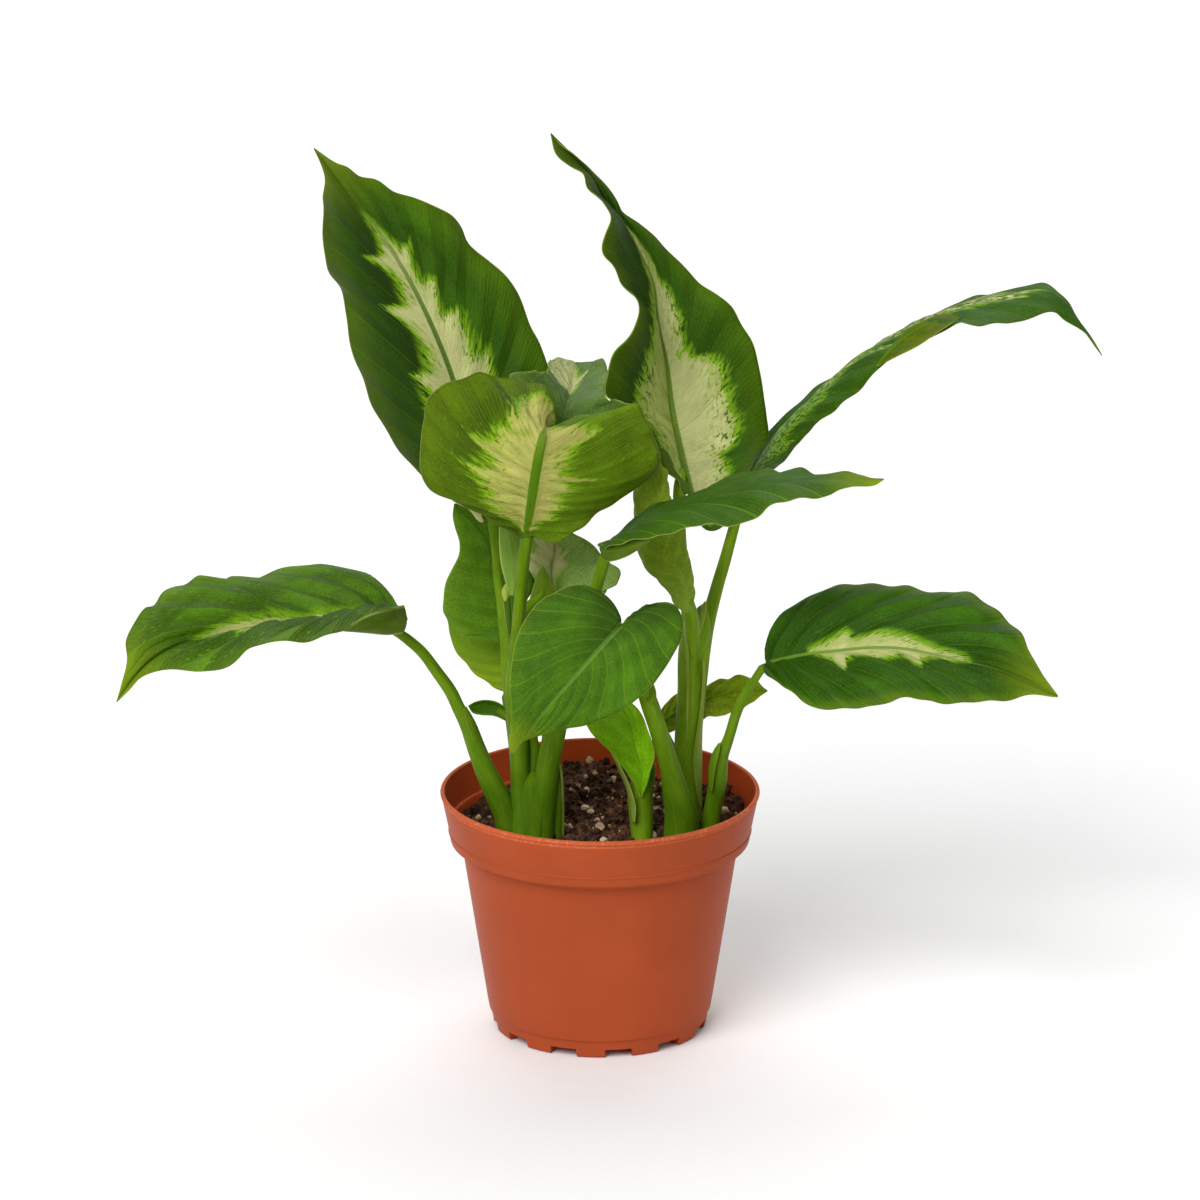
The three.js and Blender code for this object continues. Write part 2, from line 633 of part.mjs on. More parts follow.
// Both faces are split into the same triangles, then stitched round the margin.
function bladeSolid(leaf) {
  const grid = bladeGrid(leaf);
  const normals = bladeNormals(grid);
  const rows = grid.length;
  const columns = grid[0].length;
  const middle = (columns - 1) / 2;
  const positions = [];
  const indices = [];
  [1, -1].forEach((face) => {
    grid.forEach((row, i) => row.forEach((point, j) => {
      const keel = j === middle && face < 0 ? RIB_DEPTH * (1 - i / (rows - 1)) : 0;
      const offset = face * (BLADE_THICKNESS / 2) - keel;
      const p = point.clone().addScaledVector(normals[i][j], offset);
      positions.push(p.x, p.y, p.z);
    }));
  });
  const under = rows * columns;
  const quad = (a, b, c, d) => {
    indices.push(a, b, c, a, c, d);
    indices.push(a + under, c + under, b + under, a + under, d + under, c + under);
  };
  for (let i = 0; i < rows - 1; i += 1) {
    for (let j = 0; j < columns - 1; j += 1) {
      const a = i * columns + j;
      quad(a, a + columns, a + columns + 1, a + 1);
    }
  }
  const wall = (a, b) => indices.push(a, b, b + under, a, b + under, a + under);
  for (let i = 0; i < rows - 1; i += 1) {
    wall((i + 1) * columns, i * columns);
    wall(i * columns + columns - 1, (i + 1) * columns + columns - 1);
  }
  for (let j = 0; j < columns - 1; j += 1) {
    wall(j, j + 1);
    wall((rows - 1) * columns + j + 1, (rows - 1) * columns + j);
  }
  const geometry = new THREE.BufferGeometry();
  geometry.setAttribute('position', new THREE.Float32BufferAttribute(positions, 3));
  geometry.setIndex(indices);
  return toManifold(geometry);
}

// Pot.
function potSolid() {
  const lip = POT_HEIGHT - 1.6;
  const profile = [
    [0, 0],
    [PAD_RADIUS, 0],
    [PAD_RADIUS, FLOOR_UNDERSIDE],
    [FOOT_RADIUS - FOOT_RING, FLOOR_UNDERSIDE],
    [FOOT_RADIUS - FOOT_RING, 0],
    [FOOT_RADIUS, 0],
    [FOOT_LINE_RADIUS - 0.5, FOOT_LINE - 0.5],
    [FOOT_LINE_RADIUS, FOOT_LINE],
    [BODY_TOP_RADIUS, BODY_TOP],
    [BAND_BOTTOM_RADIUS, BAND_BOTTOM],
    [BAND_BOTTOM_RADIUS + 0.4, BAND_BOTTOM + 3.1],
    [BAND_TOP_RADIUS, lip - 0.6],
    [RIM_RADIUS, lip],
    [RIM_RADIUS, POT_HEIGHT],
    [BAND_TOP_RADIUS - 1, POT_HEIGHT],
    [BAND_TOP_RADIUS - WALL, lip - 1],
    [BAND_BOTTOM_RADIUS - WALL, BAND_BOTTOM + 1.8],
    [BODY_TOP_RADIUS - WALL, BODY_TOP + 1.2],
    [FOOT_LINE_RADIUS - WALL, FLOOR_TOP],
    [0, FLOOR_TOP],
  ].map(([r, z]) => new THREE.Vector2(r, z));
  const lathe = new THREE.LatheGeometry(profile, POT_SEGMENTS);
  lathe.rotateX(Math.PI / 2);
  let solid = toManifold(lathe);
  for (let i = 0; i < NOTCH_COUNT; i += 1) {
    const notch = new THREE.BoxGeometry(3 * FOOT_RING, NOTCH_WIDTH, 2 * NOTCH_HEIGHT);
    notch.translate(FOOT_RADIUS - FOOT_RING / 2, 0, 0);
    notch.rotateZ(THREE.MathUtils.degToRad(NOTCH_FIRST + (360 / NOTCH_COUNT) * i));
    solid = solid.subtract(toManifold(notch));
  }
  return solid;
}

// Soil.
// The surface lies low in front, and is heaped against the back wall.
function soilHeight(x, y) {
  const heap = 7.5 * Math.exp(-(((x + 2) / 24) ** 2) - ((y - 38) / 22) ** 2);
  const side = 3 * Math.exp(-(((x - 38) / 16) ** 2) - ((y - 18) / 16) ** 2);
  const coarse = 0.7 * Math.sin(0.55 * x + 1.3) * Math.sin(0.6 * y + 0.4);
  const crumbs = coarse + 0.4 * Math.sin(1.1 * x - 0.9 * y);
  return SOIL_EDGE + 0.8 + heap + side + crumbs;
}

function soilSolid(shoots) {
  const random = seededRandom(SOIL_SEED);
  const inner = (radius) => radius - WALL - NODE_GAP;
  const topRadius = inner(BAND_BOTTOM_RADIUS + 0.3);
  const ring = (radius, height) => {
    const points = [];
    for (let j = 0; j < SOIL_SIDES; j += 1) {
      const angle = (2 * Math.PI * j) / SOIL_SIDES;
      const x = radius * Math.cos(angle);
      const y = radius * Math.sin(angle);
      points.push(new THREE.Vector3(x, y, height === null ? soilHeight(x, y) : height));
    }
    return points;
  };
  const rings = [
    ring(inner(FOOT_LINE_RADIUS), FLOOR_TOP + NODE_GAP),
    ring(inner(BODY_TOP_RADIUS), BODY_TOP + 1.2 + NODE_GAP / 2),
    ring(inner(BAND_BOTTOM_RADIUS), BAND_BOTTOM + 1.8 + NODE_GAP),
    ring(topRadius, SOIL_EDGE),
    ...[0.92, 0.78, 0.63, 0.48, 0.33, 0.18, 0.06].map((share) => ring(topRadius * share, null)),
  ];
  let solid = toManifold(ringsToGeometry(rings));
  for (let i = 0; i < PERLITE_COUNT; i += 1) {
    const grain = new THREE.IcosahedronGeometry(1.2 + 1.1 * random(), 0);
    grain.scale(1, 0.8 + 0.3 * random(), 0.7);
    grain.rotateZ(2 * Math.PI * random());
    const angle = 2 * Math.PI * random();
    const radius = (topRadius - 5) * Math.sqrt(random());
    const x = radius * Math.cos(angle);
    const y = radius * Math.sin(angle);
    grain.translate(x, y, soilHeight(x, y) + 0.2);
    solid = solid.add(toManifold(grain));
  }
  shoots.forEach((stalks) => {
    solid = solid.subtract(shootSolid(stalks, NODE_GAP));
  });
  return largestBody(solid);
}

// Assembly.
const group = new THREE.Group();
group.name = 'potted_dieffenbachia';

function addPiece(name, solid, colour, roughness) {
  const material = new THREE.MeshStandardMaterial({ color: colour, roughness, metalness: 0 });
  const mesh = new THREE.Mesh(toGeometry(solid), material);
  mesh.name = name;
  group.add(mesh);
}

addPiece('pot', potSolid(), COLOURS.terracotta, 0.45);
addPiece('soil', soilSolid(Object.values(SHOOTS)), COLOURS.soil, 0.95);
Object.entries(SHOOTS).forEach(([name, stalks]) => {
  addPiece(name, largestBody(shootSolid(stalks, 0)), COLOURS.stalk, 0.45);
});
const stalkRoom = Object.values(SHOOTS).map((stalks) => shootSolid(stalks, NODE_GAP));
Object.entries(LEAVES).forEach(([name, leaf]) => {
  let blade = bladeSolid(leaf);
  stalkRoom.forEach((room) => {
    blade = blade.subtract(room);
  });
  addPiece(`leaf_${name}`, largestBody(blade), COLOURS[leaf.colour ?? 'green'], 0.4);
});

export default group;
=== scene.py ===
"""Potted dieffenbachia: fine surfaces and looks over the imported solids."""
import math
import bmesh
import bpy
import numpy as np
from mathutils import Matrix, Vector, noise


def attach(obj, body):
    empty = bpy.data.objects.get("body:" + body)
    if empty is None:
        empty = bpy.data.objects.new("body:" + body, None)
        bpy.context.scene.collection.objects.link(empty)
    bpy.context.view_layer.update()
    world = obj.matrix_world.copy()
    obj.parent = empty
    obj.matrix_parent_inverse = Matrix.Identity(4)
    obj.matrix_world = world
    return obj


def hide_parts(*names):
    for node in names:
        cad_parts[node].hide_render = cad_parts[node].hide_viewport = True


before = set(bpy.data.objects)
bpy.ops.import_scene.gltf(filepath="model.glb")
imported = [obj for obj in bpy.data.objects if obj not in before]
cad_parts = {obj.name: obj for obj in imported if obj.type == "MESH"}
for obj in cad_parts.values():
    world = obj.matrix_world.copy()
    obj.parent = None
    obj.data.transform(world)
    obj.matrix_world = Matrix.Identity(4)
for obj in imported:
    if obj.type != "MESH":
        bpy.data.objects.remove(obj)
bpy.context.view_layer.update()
MM = 0.001

# Outlines are read off the front view on the same grid as in the part's source:
# steps of GRID mm right and down from (600, 600), with the depth (world Y) in mm.
GRID = 0.3261
GRID_CENTRE = 600
GRID_SIDE = 1200
VIEW_TILT = math.radians(17.9)
VIEW_DISTANCE = 2600.0
VIEW_HEIGHT = 146.2


def readings(text):
    """Points written as numbers, with a comma between two points."""
    return [[float(number) for number in point.split()] for point in text.split(",")]


def leaf(rib, left, right, bulge, waves, bow=0.12, sweep=1.5, large=False):
    """A leaf's readings and form.

    Both margins start where the rib does. bulge, and waves as height and count, are given for
    the left and the right half. bow pulls the cross lines back to the foot, sweep spaces them
    along the rib, and large leaves get a finer mesh.
    """
    rib = readings(rib)
    left, right = (rib[:1] + readings(margin) for margin in (left, right))
    return dict(rib=rib, left=left, right=right, bulge=bulge, waves=waves, bow=bow, sweep=sweep,
                large=large)


LEAVES = {
    # Tall leaf at the left, upper face forward.
    "tall_left": leaf(
        "487 521 17, 470 452 22, 455 385 24, 420 300 22, 385 240 16, 362 212 12, 313 147 0",
        "480 522 18, 470 510 19, 460 501 20, 440 489 22, 424 477 23, 403 457 25, 389 434 26, "
        "373 406 27, 359 372 27, 350 342 27, 347 316 27, 340 294 26, 330 274 24, 326 255 21, "
        "322 227 17, 323 199 12, 325 176 6, 313 147 0",
        "500 520 18, 520 500 22, 537 460 26, 546 420 28, 548 372 29, 541 344 29, 530 325 29, "
        "518 294 30, 504 274 30, 488 259 29, 468 243 27, 460 227 26, 451 215 24, 437 207 23, "
        "415 197 20, 392 191 16, 375 180 12, 361 177 9, 347 166 5, 336 162 3, 313 147 0",
        bulge=(0.1, 0.12), waves=((0.8, 4.5), (1.2, 5)), large=True),
    # Leaf at the front centre, seen from below, cupped away to the back.
    "front_under": leaf(
        "527 534 -14, 530 510 -24, 535 478 -36, 539 455 -43, 542 441 -43, 544 433 -36, "
        "545 430 -24, 546 437 -14",
        "535 533 -16, 544 539 -17, 553 543 -19, 572 533 -21, 591 520 -21, 620 499 -20, "
        "637 487 -18, 651 476 -16, 659 467 -15, 660 453 -14, 658 441 -13, 652 433 -12, "
        "645 419 -11, 641 407 -9, 636 404 -8, 625 409 -9, 614 414 -10, 603 413 -10, 595 412 -11, "
        "581 416 -12, 570 424 -13, 558 433 -13, 546 438 -14",
        "518 537 -15, 510 531 -17, 501 525 -18, 490 521 -19, 477 512 -19, 455 503 -18, "
        "429 485 -16, 421 472 -15, 420 445 -13, 423 420 -10, 428 397 -6, 437 389 -3, 455 382 0, "
        "466 375 2, 476 371 3, 496 375 2, 521 383 1, 539 383 -1, 551 396 -5, 557 411 -9, "
        "556 426 -12, 546 437 -14",
        bulge=(-0.1, -0.1), waves=((0.5, 4), (0.7, 4)), bow=0.02, sweep=1.1, large=True),
    # Leaf behind that one, lying back.
    "back_top": leaf(
        "556 476 3, 560 440 4, 565 412 9, 569 396 20, 572 386 32, 574 372 42, 575 362 49",
        "545 455 4, 522 400 7, 510 374 9, 530 372 12, 545 373 20, 547 364 34, 552 359 42, "
        "561 357 46, 568 360 48, 575 362 49",
        "575 460 2, 618 430 0, 637 406 -1, 623 403 0, 611 402 1, 606 397 6, 605 390 16, "
        "606 383 28, 608 373 38, 606 364 44, 602 359 47, 594 362 48, 583 363 49, 575 362 49",
        bulge=(0, 0), waves=((0.6, 4), (0.6, 4)), bow=0, sweep=1.2),
    # Tallest leaf, at the centre.
    "top_centre": leaf(
        "687 493 24, 680 457 26, 671 409 27, 666 367 27, 657 322 25, 652 280 22, 627 232 16, "
        "613 215 13, 587 173 5, 550 132 -6",
        "680 487 21, 672 476 17, 660 462 13, 640 432 9, 625 405 9, 606 396 9, 608 372 8, "
        "617 350 6, 633 330 4, 637 316 3, 632 294 3, 622 283 2, 613 266 1, 604 252 0, "
        "605 232 -1, 610 217 -1, 601 201 -2, 587 189 -4, 584 173 -5, 570 166 -5, 556 154 -6, "
        "550 132 -6",
        "692 510 25, 708 530 26, 724 525 27, 740 485 29, 751 469 30, 761 451 31, 768 437 31, "
        "767 415 31, 763 395 31, 760 370 31, 753 344 31, 744 328 31, 732 307 30, 716 293 29, "
        "700 283 28, 688 271 26, 666 248 22, 641 224 17, 622 211 14, 617 201 12, 607 186 9, "
        "590 169 5, 576 155 0, 556 140 -5, 550 132 -6",
        bulge=(0.05, 0.1), waves=((0.5, 4), (1, 5)), large=True),
    # Long leaf reaching out to the right, half rolled.
    "long_right": leaf(
        "748 478 46, 775 436 40, 815 395 34, 860 358 29, 910 328 24, 960 304 18, 1010 294 12, "
        "1050 291 8, 1078 322 5, 1103 357 2",
        "752 462 52, 769 430 58, 796 405 60, 837 373 58, 866 353 56, 910 325 52, 941 310 47, "
        "973 298 42, 1007 293 34, 1048 285 22, 1062 296 16, 1079 318 10, 1089 335 7, 1103 357 2",
        "758 476 42, 776 468 36, 787 459 29, 797 445 23, 805 435 18, 813 426 15, 821 420 12, "
        "837 410 8, 853 396 5, 867 380 2, 885 362 -1, 924 342 -5, 959 322 -7, 978 326 -7, "
        "992 324 -6, 1006 326 -5, 1018 322 -5, 1031 317 -4, 1055 312 -2, 1067 321 -1, "
        "1091 340 0, 1103 357 2",
        bulge=(0, 0.08), waves=((0.3, 5), (0.4, 5)), large=True),
    # Narrow leaf pointing right, in front of the stems.
    "front_narrow": leaf(
        "608 547 -22, 650 522 -25, 690 505 -27, 740 490 -29, 790 481 -31, 840 480 -34, "
        "885 479 -38",
        "597 545 -19, 611 540 -17, 617 535 -15, 627 526 -12, 637 516 -10, 652 506 -8, "
        "671 500 -7, 684 497 -7, 700 492 -6, 712 487 -6, 730 479 -6, 746 472 -7, 764 470 -8, "
        "783 471 -10, 804 469 -13, 815 473 -16, 824 477 -19, 832 476 -22, 849 471 -28, "
        "861 475 -31, 870 478 -34, 885 479 -38",
        "602 549 -28, 613 546 -36, 634 541 -41, 655 536 -44, 687 529 -48, 707 525 -49, "
        "722 526 -49, 739 524 -49, 757 516 -49, 780 503 -48, 804 499 -47, 829 495 -44, "
        "840 489 -43, 862 487 -41, 876 485 -39, 885 479 -38",
        bulge=(0.02, 0.12), waves=((0.2, 4), (0.4, 4)), large=True),
    # Small heart-shaped leaf hanging at the front.
    "heart": leaf(
        "622 624 -30, 598 650 -34, 570 682 -38, 542 714 -39, 512 755 -37",
        "628 621 -30, 636 616 -30, 645 609 -29, 653 604 -29, 665 602 -28, 675 605 -28, "
        "682 617 -28, 682 635 -29, 670 660 -31, 650 688 -33, 619 712 -35, 587 724 -36, "
        "567 729 -37, 548 734 -37, 530 739 -37, 518 744 -37, 512 755 -37",
        "618 618 -30, 613 607 -30, 602 593 -30, 582 585 -31, 566 587 -32, 552 594 -33, "
        "540 601 -34, 527 617 -36, 518 634 -38, 512 660 -39, 510 690 -39, 512 708 -39, "
        "510 731 -38, 509 744 -37, 512 755 -37",
        bulge=(0.06, 0.06), waves=((0.4, 3), (0.4, 3)), bow=0.14),
    # Low leaf arching out to the left.
    "left_low": leaf(
        "402 631 -18, 375 617 -22, 356 615 -24, 328 619 -27, 295 625 -31, 263 627 -35, "
        "230 633 -39, 202 640 -43, 165 655 -47, 136 679 -50, 116 703 -53",
        "404 620 -22, 401 606 -30, 387 610 -42, 366 617 -50, 345 629 -54, 330 636 -56, "
        "310 642 -58, 284 640 -60, 267 641 -61, 252 649 -62, 239 660 -62, 221 668 -62, "
        "202 671 -61, 174 670 -60, 152 673 -58, 139 679 -56, 128 690 -54, 116 703 -53",
        "396 618 -14, 387 606 -8, 380 593 -2, 369 582 2, 354 572 4, 338 565 5, 323 563 4, "
        "308 566 2, 286 569 0, 265 574 -3, 250 577 -6, 232 577 -9, 221 582 -12, 208 580 -15, "
        "198 577 -18, 187 582 -21, 176 584 -24, 163 593 -28, 154 606 -33, 145 608 -37, "
        "136 620 -41, 126 641 -46, 127 660 -49, 121 684 -52, 116 703 -53",
        bulge=(0.08, 0.1), waves=((0.6, 5), (0.8, 5)), large=True),
    # Low leaf arching out to the right.
    "right_low": leaf(
        "765 664 -18, 805 655 -22, 838 651 -25, 870 648 -28, 903 649 -30, 935 655 -32, "
        "965 662 -34, 1000 671 -36, 1059 697 -40",
        "772 659 -15, 774 645 -10, 777 629 -5, 785 615 -1, 796 605 1, 812 597 3, 827 589 4, "
        "842 584 4, 861 583 3, 881 585 1, 898 588 -1, 924 588 -4, 939 592 -7, 965 593 -10, "
        "981 600 -14, 998 610 -18, 1009 621 -22, 1022 636 -27, 1028 649 -31, 1037 664 -34, "
        "1046 679 -37, 1059 697 -40",
        "765 672 -24, 775 681 -31, 788 690 -37, 803 701 -42, 816 708 -45, 827 710 -46, "
        "848 709 -48, 870 706 -49, 892 701 -50, 911 699 -50, 939 702 -50, 963 703 -49, "
        "989 702 -48, 1011 699 -46, 1028 695 -43, 1050 697 -41, 1059 697 -40",
        bulge=(0.1, 0.06), waves=((0.6, 5), (0.6, 5)), large=True),
    # Leaf standing behind the left stems.
    "back_left": leaf(
        "505 692 16, 509 640 22, 503 590 26, 488 540 28, 454 503 28",
        "490 684 17, 470 668 19, 455 650 20, 448 625 21, 443 605 22, 445 585 22, 453 568 22, "
        "459 550 21, 456 530 24, 453 515 26, 454 503 28",
        "516 682 19, 521 650 24, 520 610 28, 512 570 31, 495 530 31, 475 508 30, 454 503 28",
        bulge=(0.06, 0.06), waves=((0.8, 4), (0.6, 4))),
    # Leaf rolled lengthwise round its rib at the right stems.
    "rolled": leaf(
        "689 611 -2, 681 582 -4, 665 550 -4, 655 515 -2, 655 458 1",
        "693 606 -1, 692 590 2, 685 563 6, 678 535 9, 671 510 10, 668 490 8, 666 476 6, "
        "664 466 3, 655 458 1",
        "683 610 -1, 675 602 1, 668 583 5, 654 563 9, 641 548 11, 637 516 12, 637 488 10, "
        "642 470 6, 655 458 1",
        bulge=(-0.25, -0.25), waves=((0.3, 3), (0.3, 3)), sweep=1.3),
    # Leaf behind the centre stems.
    "back_centre": leaf(
        "556 614 5, 553 592 9, 552 567 12, 555 545 12, 547 520 12",
        "537 614 5, 529 603 5, 535 587 6, 529 566 6, 531 545 7, 538 530 9, 547 520 12",
        "575 606 4, 600 594 1, 617 582 -1, 620 570 0, 606 560 3, 594 546 6, 573 533 10, "
        "557 524 12, 547 520 12",
        bulge=(0.08, 0.08), waves=((0.5, 3), (0.5, 3)), sweep=1.4),
    # Small leaf behind the right stems, seen from below.
    "right_back": leaf(
        "660 724 10, 690 708 13, 720 697 15, 745 692 15, 768 691 14",
        "665 733 8, 685 726 7, 701 719 7, 730 714 8, 747 706 11, 768 691 14",
        "662 709 13, 675 695 17, 703 686 20, 726 678 20, 750 677 18, 768 691 14",
        bulge=(-0.08, -0.08), waves=((0.3, 3), (0.3, 3)), sweep=1.4),
    # Young leaf low in the middle of the pot.
    "young_centre": leaf(
        "641 797 -13, 643 781 -13, 642 766 -13, 637 752 -13, 634 738 -14, 630 722 -15, "
        "618 704 -15, 598 690 -14",
        "636 786 -13, 629 776 -13, 620 764 -14, 611 752 -15, 600 742 -17, 590 731 -18, "
        "583 712 -18, 598 690 -14",
        "645 787 -15, 650 772 -17, 654 757 -18, 652 744 -18, 648 730 -17, 642 715 -16, "
        "630 702 -15, 598 690 -14",
        bulge=(-0.1, -0.1), waves=((0.3, 3), (0.3, 3)), sweep=1.4),
}
SHOOTS = {
    "left_shoots": [
        "493 515 17 2.1, 497 550 14 1.9, 499 583 11 1.7, 504 605 9 2.5, 507 640 5 2.4, "
        "511 680 -2 3, 516 720 -7 3.2, 520 755 -10 3.3, 521 790 -12 3.5, 523 836 -15 4.3, "
        "524 860 -16 4.6",
        "528 530 -15 2, 525 550 -15 1.95, 523 565 -15 2.1, 521 592 -14 2.15, 518 628 -13 2.1, "
        "514 690 -10 2.8, 519 750 -12 3.2, 521 790 -12 3.3, 523 836 -15 4, 524 860 -16 4.3",
        "390 630 -23 1, 400 634 -20 1.6, 412 643 -18 1.75, 422 652 -18 1.75, 437 672 -17 1.9, "
        "451 692 -16 2.1, 459 709 -16 2.1, 467 723 -15 2.7, 477 750 -14 3.05, 485 770 -14 3.4, "
        "495 791 -13 3.9, 505 813 -13 4.1, 510 836 -13 4.2, 513 860 -13 4.3",
        "505 692 16 1.4, 512 730 8 1.8, 518 780 -4 2.2, 521 820 -10 2.6",
        "510 718 0 1.3, 505 714 2 1.5, 498 710 3 1.2",
        "608 547 -22 1.6, 603 565 -22 2, 596 589 -22 1.9, 577 640 -22 2.3, 563 695 -20 3.1, "
        "554 735 -18 3.7, 548 765 -17 3.7, 545 786 -16 3.8, 541 836 -15 4, 540 860 -15 4.1",
        "556 614 5 1.3, 545 690 -4 1.5, 533 730 -8 1.7, 532 740 -8 1.9, 534 754 -9 2.6, "
        "533 770 -10 2.6, 531 790 -11 2.6, 532 836 -14 2.8",
        "556 476 3 1.3, 560 520 16 1.6, 557 580 22 1.8, 554 640 16 2.1, 552 700 3 2.4, "
        "549 750 -9 2.8, 545 785 -12 3",
        "531 772 -12 0.8, 531 785 -13 1.8, 532 805 -14 2.8, 532 836 -15 3.6, 532 860 -15 3.8",
        "516 806 -11 0.8, 516 818 -12 2, 517 836 -13 3, 518 860 -13 3.2",
        "560 762 -14 0.7, 559 775 -13 1.4, 558 800 -13 1.9, 556 836 -12 2.3, 556 860 -12 2.4",
    ],
    "centre_shoot": [
        "641 772 -8 2.6, 641 785 -9 3.8, 640 800 -9 4.3, 641 815 -10 3.9, 642 838 -12 3.6, "
        "643 858 -12 3.5",
    ],
    "right_front_shoot": [
        "622 624 -30 1.4, 634 655 -29 1.9, 643 685 -26 2.5, 650 705 -24 3, 657 726 -23 2.9, "
        "664 748 -21 3.1, 670 768 -19 3.3, 675 791 -17 4.2, 681 816 -15 5.5, 682 836 -14 6.1, "
        "683 856 -14 6.2",
    ],
    "right_shoot": [
        "682 468 23 1.5, 679 488 22 1.95, 679 512 21 1.95, 681 545 19 1.9, 685 590 14 1.8, "
        "690 625 9 2.8, 690 690 6 3.2, 689 760 3 3.3, 689 845 0 3.4",
        "748 478 46 1.5, 734 527 34 1.8, 725 560 28 2, 719 580 25 2.1, 714 598 20 2.2, "
        "709 616 15 2.4, 703 640 10 3, 697 680 6 3.4, 692 730 4 3.4, 689 790 1 3.6, "
        "689 845 0 3.8",
        "704 604 14 0.9, 702 612 12 2.2, 699 624 10 4.2, 695 638 9 4.9, 692 656 8 4.7, "
        "690 690 6 4.1, 688 730 4 4.3, 687 771 2 4.5, 688 802 1 4.5, 689 845 0 4.6",
        "660 724 10 1.1, 670 745 8 1.6, 682 785 3 2, 688 815 0 2.4",
        "687 596 -2 1.6, 691 616 1 2.5, 693 645 5 2.4, 693 690 9 2",
    ],
    "right_low_shoot": [
        "765 664 -18 1.4, 757 676 -18 1.3, 744 697 -17 1.5, 736 714 -16 1.7, 730 734 -15 1.7, "
        "726 745 -14 1.8, 720 757 -13 2.9, 718 780 -12 3, 714 802 -10 2.9, 710 827 -9 3.2, "
        "709 852 -9 3.3",
    ],
}
